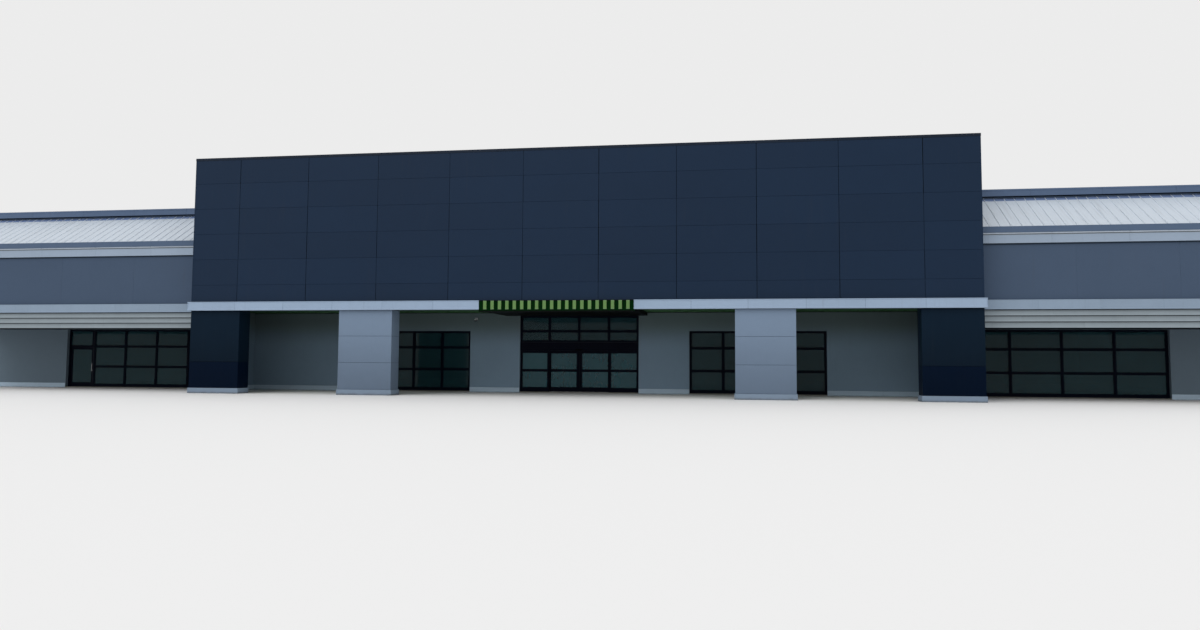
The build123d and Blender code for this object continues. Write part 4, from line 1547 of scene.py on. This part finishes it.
    def eaves(self, eave: Vector) -> None:
        """Lays the folded edge of the roof over the gutter, in lengths.

        Args:
            eave: the edge of the roof.
        """
        edges = Shape(60)
        front = eave.y - self.eave_out
        lip = (front, front + self.eave_metal)
        for lines in self.runs(self.trim_length):
            for span in pairwise(lines):
                x = inset(span, 0.001)
                edges.block(x, (front, eave.y + 0.006), (eave.z - self.eave_metal, eave.z + 0.003))
                edges.block(x, lip, (eave.z - self.eave_drop, eave.z + 0.002))
        edges.soften(0.0008).piece("eave_edges", FLASHING)

    def ridges(self) -> None:
        """Boxes out the ridge flashing in front of the upstands, caps them, and lays black strips of
        painted shadow beneath it.
        """
        box = Box.of("wing_parapets")
        front, back, top = box.low.y - self.ridge_proud, box.high.y + self.ridge_past, box.high.z
        foot, cap = top - self.ridge_drop, top + self.ridge_cap
        metal = self.ridge_metal
        flashing = [
            (front, foot), (front + metal, foot), (front + metal, top - metal),
            (back, top - metal + 0.002), (back, top - self.ridge_back),
            (back + metal, top - self.ridge_back), (back + metal, cap), (front - self.nose, cap),
            (front - self.nose, top - self.nose_z[0]), (front, top - self.nose_z[1]),
        ]
        shape = Shape(61)
        under = Shape(62)
        for lines in self.runs(self.trim_length):
            shape.run(flashing, Axis.X, lines)
            x = (lines[0], lines[-1])
            # Painted shadow: black strips under the flashing stand for the dark gap there.
            under.block(x, (front + 0.001, box.low.y), (foot + 0.002, foot + 0.010))
            under.block(x, (box.low.y - 0.006, box.low.y), (foot - 0.010, foot + 0.004))
        shape.soften(0.0012).piece("ridge_flashings", RIDGE_METAL)
        under.piece("ridge_underside_shadows", NAVY_JOINT)
        paint(CAP_METAL, "wing_parapets")

    def ceilings(self) -> None:
        """Boards the ceilings of the covered walks."""
        shape = Shape(63)
        for ceiling in solids("wing_ceilings"):
            lengths, lines = even(*ceiling.x, self.board_length), even(*ceiling.y, self.board)
            shape.tiles(Facing.DOWN, ceiling.low.z, lengths, lines, self.board_proud, self.board_gaps)
        shape.soften(0.0015).piece("walk_ceiling_boards", WALK_BOARD)
        paint(WALK_GROOVE, "wing_ceilings")

    def dress(self) -> None:
        """Builds every piece of the wings."""
        self.siding()
        self.bands()
        self.fields()
        self.cornices()
        self.gutters()
        self.roofs()
        self.ridges()
        self.ceilings()


@dataclass
class Window:
    """The lights of one glazed frame, from its lines and the widths of its bars."""

    x_lines: Sequence[float]
    z_lines: Sequence[float]
    y: Span
    post: float = 0.050
    mullion: float = 0.050
    bar: float = 0.040
    sill: float = 0.075
    head: float = 0.040

    def beside_doors(self) -> bool:
        """True for the two fixed panels beside the sliding leaves, with their tall sills."""
        return self.sill > LOW

    def on_floor(self) -> bool:
        """True for a frame that stands on the floor."""
        return self.z_lines[0] < LOW

    def clear(self, lines: Sequence[float], bar: float, first: float, last: float) -> list[Span]:
        """The clear widths between bars on the inner lines.

        Args:
            lines: the outer ends and the middles of the bars between.
            bar: the width of those bars.
            first: the width of the first member.
            last: the width of the last member.

        Returns:
            The clear widths.
        """
        lows = [lines[0] + first, *(line + bar / 2 for line in lines[1:-1])]
        highs = [*(line - bar / 2 for line in lines[1:-1]), lines[-1] - last]
        return list(zip(lows, highs))

    def lights(self) -> list[tuple[Span, Span]]:
        """The clear lights, each as a pair of X and a pair of Z.

        Returns:
            The lights, column by column.
        """
        columns = self.clear(self.x_lines, self.mullion, self.post, self.post)
        rows = self.clear(self.z_lines, self.bar, self.sill, self.head)
        return [(x, z) for x in columns for z in rows]


@dataclass
class Glazier:
    """Fills the lights of frames with panes, beads and gaskets, from a first seed on."""

    seed: int
    glass: Glazing = GLASS
    pane: float = 0.008
    bead: float = 0.009
    bead_back: float = 0.004
    gasket: float = 0.004
    gasket_depth: float = 0.003
    gasket_under: float = 0.001
    seat: float = 0.006
    panes: Shape = field(init=False)
    beads: Shape = field(init=False)
    gaskets: Shape = field(init=False)

    def __post_init__(self) -> None:
        """Starts the three pieces."""
        self.panes, self.beads, self.gaskets = (Shape(self.seed + i) for i in range(3))

    def fill(self, window: Window, with_panes: bool = True) -> None:
        """Glazes every light of a window.

        Args:
            window: the window.
            with_panes: False where packed glass stays in place.
        """
        pane_y = around((window.y[0] + window.y[1]) / 2, self.pane / 2)
        for x, z in window.lights():
            if with_panes:
                self.panes.block(inset(x, -self.seat), pane_y, inset(z, -self.seat))
            for edge, glass, out in zip(inset(window.y, self.bead_back), pane_y, (-1, 1)):
                self.beads.ring(x, sorted((edge, glass)), z, self.bead)
                skin = sorted((glass, glass + out * self.gasket_depth))
                inner_x, inner_z = (inset(span, self.bead - self.gasket_under) for span in (x, z))
                self.gaskets.ring(inner_x, skin, inner_z, self.gasket)

    def fit(self, prefix: str, body: str = BUILDING, replaces: Sequence[str] = ()) -> None:
        """Makes the pieces of what has been glazed.

        Args:
            prefix: the start of their names.
            body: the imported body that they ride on.
            replaces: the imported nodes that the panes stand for.
        """
        if len(self.panes.bm.faces):
            self.panes.piece(prefix + "_panes", self.glass, body, replaces)
        self.beads.piece(prefix + "_beads", ANODISED, body)
        self.gaskets.piece(prefix + "_gaskets", GASKET, body)


@dataclass
class Storefront:
    """The fixed windows of the block and of the wings."""

    block_bars: Span = (0.578, 1.140)
    wing_bars: Span = (0.584, 1.137)
    left_bay: float = 0.945
    left_inner_light: float = 1.005
    right_bay: float = 1.142
    right_inner_light: float = 1.255
    mullion: float = 0.050
    door_bar: float = 0.566
    door_rail: float = 0.105
    door_head: float = 0.050
    transom_bar: float = 1.560
    thin_sill: float = 0.040
    sealant: float = 0.009
    sill_out: float = 0.022
    edge: float = 0.002

    def windows(self) -> list[Window]:
        """Every fixed frame with its lines.

        Returns:
            The windows, with those beside and over the doors last.
        """
        found = []
        for box in solids("block_window_frames"):
            z_lines = [box.low.z, *self.block_bars, box.high.z]
            found.append(Window(even(*box.x, (box.high.x - box.low.x) / 4), z_lines, box.y))
        _, left, right = solids("wing_window_frames")
        z_lines = [left.low.z, *self.wing_bars, left.high.z]
        left_span = (left.low.x + self.mullion / 2, left.high.x - self.left_inner_light)
        right_span = (right.low.x + self.right_inner_light, right.high.x)
        left_lines = [left.low.x, *even(*left_span, self.left_bay)[1:], left.high.x]
        found.append(Window(left_lines, z_lines, left.y))
        found.append(Window([right.low.x, *even(*right_span, self.right_bay)], z_lines, right.y))
        return found + self.door_windows()

    def door_windows(self) -> list[Window]:
        """The frames over and beside the doors.

        Returns:
            The windows, from left to right.
        """
        found = []
        for box in solids("door_frames"):
            width = box.high.x - box.low.x
            if width > WIDE:
                z_lines = [box.low.z, self.transom_bar, box.high.z]
                found.append(Window(even(*box.x, width / 4), z_lines, box.y, sill=self.thin_sill))
            elif box.low.z < LOW:
                z_lines = [box.low.z, self.door_bar, box.high.z]
                found.append(Window(box.x, z_lines, box.y, sill=self.door_rail, head=self.door_head))
            else:
                found.append(Window(box.x, box.z, box.y, sill=self.thin_sill))
        return found

    def sealants(self, windows: list[Window]) -> None:
        """Draws a bead of sealant round each wide frame, and a metal sill below each low one.

        Args:
            windows: the fixed windows.
        """
        sealant = Shape(74)
        sills = Shape(75)
        for window in windows:
            x = (window.x_lines[0] - 0.004, window.x_lines[-1] + 0.004)
            foot, face = window.z_lines[0], window.y[0]
            z = (foot, window.z_lines[-1] + 0.004)
            if x[1] - x[0] > WIDE:
                sealant.ring(x, (face - 0.003, face + 0.004), z, self.sealant)
            if window.on_floor():
                front = face - self.sill_out
                sills.block(inset(x, 0.006), (front, face + 0.004), (foot + 0.0005, foot + 0.004))
                sills.block(inset(x, 0.006), (front, front + 0.003), (foot - 0.010, foot + 0.003))
        sealant.soften(0.0008).piece("frame_sealant", SEALANT)
        sills.soften(0.0006).piece("sill_flashings", ANODISED)

    def dress(self) -> None:
        """Builds every piece of the fixed glazing."""
        windows = self.windows()
        glazier = Glazier(71)
        entry = Glazier(76, ENTRY_GLASS)
        for window in windows:
            (entry if window.beside_doors() else glazier).fill(window)
        glazier.fit("storefront", replaces=["storefront_glass"])
        entry.fit("entrance_side")
        self.sealants(windows)
        for node in ("block_window_frames", "wing_window_frames", "door_frames"):
            eased(node, ANODISED, self.edge)


@dataclass
class SlidingEntrance:
    """The header, the track and the two sliding leaves."""

    door_bar: float = 0.566
    bar: float = 0.040
    stile: float = 0.060
    rail: float = 0.105
    head: float = 0.050
    runner: float = 0.0057
    floor: float = 0.025
    rib_pitch: float = 0.010
    rib_half: float = 0.0015
    rib_h: float = 0.0022
    cover_length: float = 1.515
    cover_split: float = 0.062
    cover_proud: float = 0.005
    sensor_half: float = 0.075
    sensor_out: float = 0.018
    sensor_z: Span = (0.012, 0.044)

    def header(self) -> None:
        """Covers the header, with a joint along it, and hangs a small sensor below."""
        box = Box.of("entrance_header")
        foot, face = box.low.z, box.low.y
        cover = Shape(81)
        lines = (foot + 0.002, foot + self.cover_split, box.high.z - 0.001)
        x_lines = even(*box.x, self.cover_length)
        cover.tiles(Facing.STREET, face, x_lines, lines, self.cover_proud, (0.002, 0.004))
        cover.soften(0.002).piece("header_cover", ANODISED)
        sensor = Shape(82)
        front = face - self.cover_proud
        middle = (box.low.x + box.high.x) / 2
        sensor_z = [foot + height for height in self.sensor_z]
        sensor.block(around(middle, self.sensor_half), (front - self.sensor_out, front), sensor_z)
        sensor.soften(0.006, 3).piece("header_sensor", GASKET, smooth=True)
        paint(ANODISED, "entrance_header")

    def threshold(self) -> None:
        """Lays the ribbed track plate on the floor."""
        box = Box.of("entrance_header")
        floor = self.floor
        shape = Shape(83)
        shape.block(box.x, (box.low.y + 0.01, box.high.y), (floor - 0.001, floor + 0.0012))
        for y in even(box.low.y + 0.016, box.high.y - 0.006, self.rib_pitch):
            shape.block(inset(box.x, 0.002), around(y, self.rib_half), (floor, floor + self.rib_h))
        shape.piece("threshold_track", STEEL)

    def leaf(self, side: str, seed: int) -> None:
        """Eases a leaf's frame, beads its glass and edges it with a strip.

        Args:
            side: left or right.
            seed: the first seed of its tones.
        """
        node, body = f"{side}_sliding_leaf", f"{side}_leaf"
        box = Box.of(node)
        top = box.high.z - self.runner
        z_lines = [box.low.z, self.door_bar, top]
        glazier = Glazier(seed)
        window = Window(box.x, z_lines, box.y, self.stile, 0.0, self.bar, self.rail, self.head)
        glazier.fill(window, with_panes=False)
        glazier.fit(body, body)
        meeting = box.high.x if side == "left" else box.low.x
        strip = Shape(seed + 3)
        strip.block(around(meeting, 0.0015), inset(box.y, 0.012), inset((box.low.z, top), 0.002))
        strip.piece(f"{side}_leaf_strip", GASKET, body)
        eased(node, ANODISED, 0.002, body)
        paint(ENTRY_GLASS, f"{side}_sliding_glass")

    def dress(self) -> None:
        """Builds every piece of the sliding entrance."""
        self.header()
        self.threshold()
        self.leaf("left", 84)
        self.leaf("right", 88)


@dataclass
class SwingDoor:
    """The glazed swing door of the left wing."""

    stile: float = 0.050
    rail: float = 0.105
    head: float = 0.050
    bead: float = 0.007
    pull_z: Span = (0.46, 0.66)
    pull_out: float = 0.032
    push_z: float = 0.50
    push_out: float = 0.022
    pull: float = 0.0065
    post: float = 0.005
    rose: float = 0.010
    push: float = 0.008
    push_post: float = 0.006
    body: str = "swing_door"

    def dress(self) -> None:
        """Eases the leaf, beads its pane and hangs its pull and its push bar."""
        box, glass = Box.of("swing_leaf"), Box.of("swing_leaf_glass")
        z_lines = [glass.low.z - self.rail, glass.high.z + self.head]
        glazier = Glazier(91, bead=self.bead)
        window = Window(box.x, z_lines, box.y, self.stile, sill=self.rail, head=self.head)
        glazier.fill(window, with_panes=False)
        glazier.fit("swing_leaf", self.body)
        self.bars(box)
        eased("swing_leaf", ANODISED, 0.0015, self.body)
        paint(GLASS, "swing_leaf_glass")

    def bars(self, box: Box) -> None:
        """Hangs the pull outside, on two roses, and the push bar inside.

        Args:
            box: the box of the leaf.
        """
        steel = Shape(94)
        face = box.low.y + 0.001
        x, out = box.high.x - self.stile / 2, box.low.y - self.pull_out
        steel.rod((x, out, self.pull_z[0]), (x, out, self.pull_z[1]), self.pull)
        for z in inset(self.pull_z, 0.02):
            steel.rod((x, out, z), (x, face, z), self.post)
            steel.rod((x, box.low.y - 0.003, z), (x, face, z), self.rose)
        back, z = box.high.y + self.push_out, self.push_z
        steel.rod((box.low.x + 0.05, back, z), (box.high.x - 0.02, back, z), self.push)
        for x in (box.low.x + 0.06, box.high.x - 0.03):
            steel.rod((x, box.high.y - 0.001, z), (x, back, z), self.push_post)
        steel.piece("swing_door_bars", STEEL, self.body, smooth=True)


@dataclass
class WallDome:
    """The small dome on its arm beside the entrance."""

    plate: Span = (0.030, 0.050)
    plate_proud: float = 0.010
    arm_z: float = 0.042
    arm: float = 0.013
    radius: float = 0.045
    smoke_gap: float = 0.004
    screw: float = 0.004
    screw_inset: float = 0.008
    collar: float = 0.004
    neck: float = 0.020

    def dress(self) -> None:
        """Builds the plate with its screws, the arm, the shell and the smoked dome."""
        box = Box.of("wall_dome")
        x, z = (box.low.x + box.high.x) / 2, (box.low.z + box.high.z) / 2
        wall, ball_y = box.high.y, box.low.y + self.radius
        arm_z = z + self.arm_z
        wide, tall = self.plate
        shape = Shape(95)
        shape.block(around(x, wide), (wall - self.plate_proud, wall), (arm_z - tall, arm_z + 0.012))
        shape.soften(0.003, 2)
        for screw_x in inset(around(x, wide), self.screw_inset):
            for screw_z in (arm_z - tall + 0.010, arm_z + 0.003):
                shape.rod((screw_x, wall - 0.012, screw_z), (screw_x, wall - 0.009, screw_z), self.screw, 8)
        shape.rod((x, wall - 0.008, arm_z - 0.004), (x, ball_y, arm_z - 0.004), self.arm, 20)
        shape.rod((x, ball_y, z + 0.010), (x, ball_y, arm_z + 0.008), self.arm + self.collar, 20)
        shape.rod((x, ball_y, z - 0.006), (x, ball_y, z + 0.006), self.radius, 32)
        shape.rod((x, ball_y, z + 0.005), (x, ball_y, z + 0.026), self.radius - 0.0005, 32, self.neck)
        shape.piece("wall_dome_housing", DOME_WHITE, replaces=["wall_dome"], smooth=True)
        self.smoke(Vector((x, ball_y, z - 0.005)))

    def smoke(self, seat: Vector) -> None:
        """Cuts a ball to its lower half.

        Args:
            seat: the middle of the ball.
        """
        dome = Shape(96)
        matrix = Matrix.Translation(seat)
        radius = self.radius - self.smoke_gap
        bmesh.ops.create_uvsphere(dome.bm, u_segments=32, v_segments=21, radius=radius, matrix=matrix)
        geom = [*dome.bm.verts, *dome.bm.edges, *dome.bm.faces]
        bmesh.ops.bisect_plane(dome.bm, geom=geom, plane_co=seat, plane_no=(0, 0, 1), clear_outer=True)
        rim = [edge for edge in dome.bm.edges if edge.is_boundary]
        bmesh.ops.holes_fill(dome.bm, edges=rim, sides=0)
        dome.piece("wall_dome_smoke", DOME_SMOKE, smooth=True)


@dataclass
class Shell:
    """The plain end and back walls, their coping, the flat roofs and the floor."""

    bay: float = 3.0
    course: float = 2.4
    joint: float = 0.008
    proud: float = 0.005
    coping_length: float = 1.525
    coping_w: float = 0.180
    coping_face: float = 0.045
    coping_metal: float = 0.004
    coping_fall: float = 0.006
    splice_half: float = 0.05
    splice_drop: float = 0.003
    ply_width: float = 1.5
    ply_gap: float = 0.0005
    lap_half: float = 0.012
    sheet: float = 0.003
    buried: float = 0.001
    bar_below_top: float = 0.06
    bar_z: Span = (0.018, 0.004)
    bar_out: Span = (0.006, 0.001)
    coping_joint: float = 0.004

    def walls(self) -> None:
        """Lays the render in bays with open joints on the back and on both ends."""
        rear, party = Box.of("rear_wall"), Box.of("party_walls")
        rows = [Box.of("base_strips").high.z, self.course, rear.high.z]
        gaps = (self.joint, self.joint)
        shape = Shape(101)
        shape.tiles(Facing.REAR, rear.high.y, even(*party.x, self.bay), rows, self.proud, gaps)
        for side, facing in SIDES:
            level = side * party.high.x
            shape.tiles(facing, level, even(*party.y, self.bay), rows, self.proud, gaps)
            self.walk_end(shape, facing, level, side * rear.high.x)
        shape.soften(0.0015).piece("outer_render", FIELD)
        paint(FIELD_JOINT, "rear_wall", "party_walls")
        paint(FIELD, "wing_end_walls")

    def walk_end(self, shape: Shape, facing: Facing, level: float, inner: float) -> None:
        """Renders the ends of the fascia and of the walk's ceiling, and the wall beside the walk.

        Args:
            shape: the shape of the render.
            facing: the way the end looks.
            level: where the end lies along the front.
            inner: where the party wall's inner face lies.
        """
        fascia, ceiling = Box.of("wing_fascias"), Box.of("wing_ceilings")
        for box in (fascia, ceiling):
            shape.tiles(facing, level, box.y, box.z, self.proud)
        z = (Box.of("base_strips").high.z, ceiling.low.z)
        shape.tiles(Facing.STREET, Box.of("party_walls").low.y, sorted((inner, level)), z, self.proud)

    def coping(self) -> None:
        """Caps the end and back walls in lengths, over splice plates."""
        box = Box.of("parapet_coping")
        inner_y = box.high.y - self.coping_w
        foot = box.low.z - self.coping_face
        rest = ((foot, foot), box.low.z + 0.001, box.high.z, self.coping_metal, self.coping_fall)
        x_lines = even(*box.x, self.coping_length)
        y_lines = even(box.low.y, inner_y, self.coping_length)
        under = (box.low.z, box.high.z - self.splice_drop)
        metal = self.coping_metal
        shape = Shape(102)
        splices = Shape(103)
        shape.run(saddle((box.high.y, inner_y), *rest), Axis.X, x_lines, self.coping_joint)
        for side, _ in SIDES:
            ends = (side * box.high.x, side * (box.high.x - self.coping_w))
            shape.run(saddle(ends, *rest), Axis.Y, y_lines, self.coping_joint)
            for y in y_lines[1:-1]:
                splices.block(inset(sorted(ends), metal), around(y, self.splice_half), under)
        for x in x_lines[1:-1]:
            splices.block(around(x, self.splice_half), inset((inner_y, box.high.y), metal), under)
        shape.soften(0.001).piece("parapet_cap", CAP_METAL, replaces=["parapet_coping"])
        splices.piece("parapet_cap_splices", FIELD_JOINT)

    def roofs(self) -> None:
        """Rolls the sheet out over the flat roofs and up the parapets."""
        plies = Shape(104)
        seams = Shape(105)
        back_y = Box.of("block_rear_wall").high.y
        half = Box.of("block_front_wall").high.x
        ridge = Box.of("wing_parapets").high.y
        for deck in solids("roof_decks"):
            main = deck.high.x > half
            level = deck.high.z
            self.plies(plies, seams, deck.x, (back_y if main else deck.low.y, deck.high.y), level)
            if main:
                for side, _ in SIDES:
                    x = sorted((side * half, side * deck.high.x))
                    self.plies(plies, seams, x, (ridge, back_y), level)
        plies.piece("roof_plies", ROOF_PLY)
        seams.piece("roof_ply_seams", PLY_SEAM)
        self.upstands(half, ridge)
        paint(ROOF_PLY, "roof_decks")

    def plies(self, shape: Shape, seams: Shape, x: Span, y: Span, z: float) -> None:
        """Lays sheets side by side with a welded lap between them.

        Args:
            shape: the shape of the sheets.
            seams: the shape of the laps.
            x: the ends of the roof along the front.
            y: its front and its back.
            z: its height.
        """
        lines = even(*y, self.ply_width)
        for span in pairwise(lines):
            shape.block(x, inset(span, self.ply_gap), (z - 0.001, z + 0.002))
        for line in lines[1:-1]:
            seams.block(x, around(line, self.lap_half), (z, z + 0.0035))

    def upstands(self, half: float, ridge: float) -> None:
        """Turns the sheet up the inner faces of the parapets, under a metal bar.

        Args:
            half: half the width of the tall block.
            ridge: where the wings' ridge lies.
        """
        shape = Shape(106)
        bars = Shape(107)
        wall = Box.of("rear_wall")
        deck = max(box.high.z for box in solids("roof_decks") if box.high.x > half)
        top = wall.high.z - self.bar_below_top
        x_in, y_in = wall.high.x, wall.low.y
        bar_z = [top - drop for drop in self.bar_z]
        shape.block((-x_in, x_in), (y_in - self.sheet, y_in + self.buried), (deck, top))
        bars.block((-x_in, x_in), [y_in - out for out in self.bar_out], bar_z)
        for side, _ in SIDES:
            x = (side * (x_in - self.sheet), side * (x_in + self.buried))
            shape.block(x, (ridge, y_in), (deck, top))
            bar_x = [side * (x_in - out) for out in self.bar_out]
            bars.block(bar_x, (ridge, y_in - 0.007), bar_z)
        self.block_upstands(shape)
        shape.piece("roof_upstands", ROOF_PLY)
        bars.soften(0.001).piece("upstand_bars", CAP_METAL)

    def block_upstands(self, shape: Shape) -> None:
        """Turns the sheet up inside the walls of the tall block, and up its back from the roof.

        Args:
            shape: the shape of the upstands.
        """
        front, back = Box.of("block_front_wall"), Box.of("block_rear_wall")
        x_in, sheet, buried = back.high.x, self.sheet, self.buried
        z = (max(box.high.z for box in solids("roof_decks")), front.high.z - 0.002)
        shape.block((-x_in, x_in), (front.high.y - buried, front.high.y + sheet), z)
        shape.block((-x_in, x_in), (back.low.y - sheet, back.low.y + buried), z)
        for side, _ in SIDES:
            x = (side * (x_in - sheet), side * (x_in + buried))
            shape.block(x, (front.high.y, back.low.y), z)

    def dress(self) -> None:
        """Builds every piece of the shell."""
        self.walls()
        self.coping()
        self.roofs()
        paint(FLOOR, "floor_slab")


@dataclass
class Studio:
    """The camera, the light and the pale ground and surroundings."""

    place: Point = (4.0845, -28.576, 0.8095)
    turn: float = 9.187
    rise: float = 3.920
    roll: float = 0.319
    lens: float = 27.0
    sensor: float = 36.0
    clip: Span = (0.1, 1500.0)
    shift_y: float = -0.013
    pale: float = 0.84
    sky: float = 0.92
    sun: float = 0.60
    sun_width: float = 40.0
    sun_place: Point = (-20.0, -40.0, 40.0)
    sun_way: Point = (0.45, 1.0, -0.9)
    floor_shade: float = 0.84
    floor_z: float = -0.002
    floor_radius: float = 400.0
    floor_fade: Span = (24.0, 75.0)

    def stand(self, name: str, data: bpy.types.ID) -> bpy.types.Object:
        """Puts a camera, a lamp or a mesh into the scene.

        Args:
            name: its name.
            data: its data.

        Returns:
            The object.
        """
        made = bpy.data.objects.new(name, data)
        bpy.context.scene.collection.objects.link(made)
        return made

    def camera(self) -> None:
        """Stands the camera where the photographer stood."""
        data = bpy.data.cameras.new("street_view")
        data.lens = self.lens
        data.sensor_width = self.sensor
        data.shift_y = self.shift_y
        data.clip_start, data.clip_end = self.clip
        made = self.stand("street_view", data)
        turn = Matrix.Rotation(math.radians(self.turn), 4, "Z")
        tilt = Matrix.Rotation(math.radians(90 + self.rise), 4, "X")
        lean = Matrix.Rotation(math.radians(self.roll), 4, "Z")
        made.matrix_world = Matrix.Translation(self.place) @ turn @ tilt @ lean
        bpy.context.scene.camera = made

    def seen(self, graph: Graph) -> Value:
        """1 for rays that show the surroundings: the camera's, and those through gloss and glass.

        Args:
            graph: the graph.

        Returns:
            The factor.
        """
        camera, gloss, glass = (
            graph.node("ShaderNodeLightPath", output=name)
            for name in ("Is Camera Ray", "Is Glossy Ray", "Is Transmission Ray")
        )
        return graph.node("ShaderNodeMath", {"operation": "MINIMUM"}, {0: camera + gloss + glass, 1: 1.0})

    def world(self) -> None:
        """Lights the model from all round, and shows a pale backdrop."""
        world = bpy.data.worlds.new("studio")
        world.use_nodes = True
        graph = Graph(world.node_tree)
        strength = self.sky + self.seen(graph) * (self.pale - self.sky)
        backdrop = graph.node("ShaderNodeBackground", inputs={"Color": WHITE, "Strength": strength})
        graph.node("ShaderNodeOutputWorld", inputs={"Surface": backdrop})
        bpy.context.scene.world = world

    def lamp(self) -> None:
        """Hangs one broad soft lamp high on the left, in front."""
        data = bpy.data.lights.new("soft_key", "SUN")
        data.energy = self.sun
        data.angle = math.radians(self.sun_width)
        turn = Vector(self.sun_way).normalized().to_track_quat("-Z", "Y").to_matrix().to_4x4()
        self.stand("soft_key", data).matrix_world = Matrix.Translation(self.sun_place) @ turn

    def ground(self) -> None:
        """Lays a pale floor that fades into the backdrop."""
        bm = bmesh.new()
        bmesh.ops.create_circle(bm, cap_ends=True, radius=self.floor_radius, segments=96)
        bmesh.ops.translate(bm, verts=bm.verts, vec=(0, 0, self.floor_z))
        mesh = bpy.data.meshes.new("pale_floor")
        bm.to_mesh(mesh)
        bm.free()
        floor = self.stand("pale_floor", mesh)
        made = bpy.data.materials.new("pale_floor")
        made.use_nodes = True
        graph = Graph(made.node_tree)
        colour = (self.floor_shade, self.floor_shade, self.floor_shade, 1.0)
        matt = graph.node("ShaderNodeBsdfDiffuse", inputs={"Color": colour})
        glow = graph.node("ShaderNodeEmission", inputs={"Color": WHITE, "Strength": self.pale})
        inputs = {0: graph.place()}
        reach = graph.node("ShaderNodeVectorMath", {"operation": "LENGTH"}, inputs, output="Value")
        factor = graph.ramp(reach, *self.floor_fade) * self.seen(graph)
        surface = graph.node("ShaderNodeMixShader", inputs={0: factor, 1: matt, 2: glow})
        graph.node("ShaderNodeOutputMaterial", inputs={"Surface": surface})
        mesh.materials.append(made)

    def dress(self) -> None:
        """Sets the whole studio up."""
        self.camera()
        self.world()
        self.lamp()
        self.ground()
        bpy.context.scene.view_settings.view_transform = "Standard"


ASSEMBLIES: tuple[type, ...] = (
    TallBlock, StreetBand, Canopy, Arcade, Wings, Storefront, SlidingEntrance, SwingDoor, WallDome, Shell
)


def main() -> None:
    """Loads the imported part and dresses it."""
    logging.basicConfig(level=logging.INFO, format="%(message)s")
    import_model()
    Studio().dress()
    for assembly in ASSEMBLIES:
        LOG.info("Dressing %s", assembly.__name__)
        assembly().dress()
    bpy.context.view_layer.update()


if __name__ == "__main__":
    main()
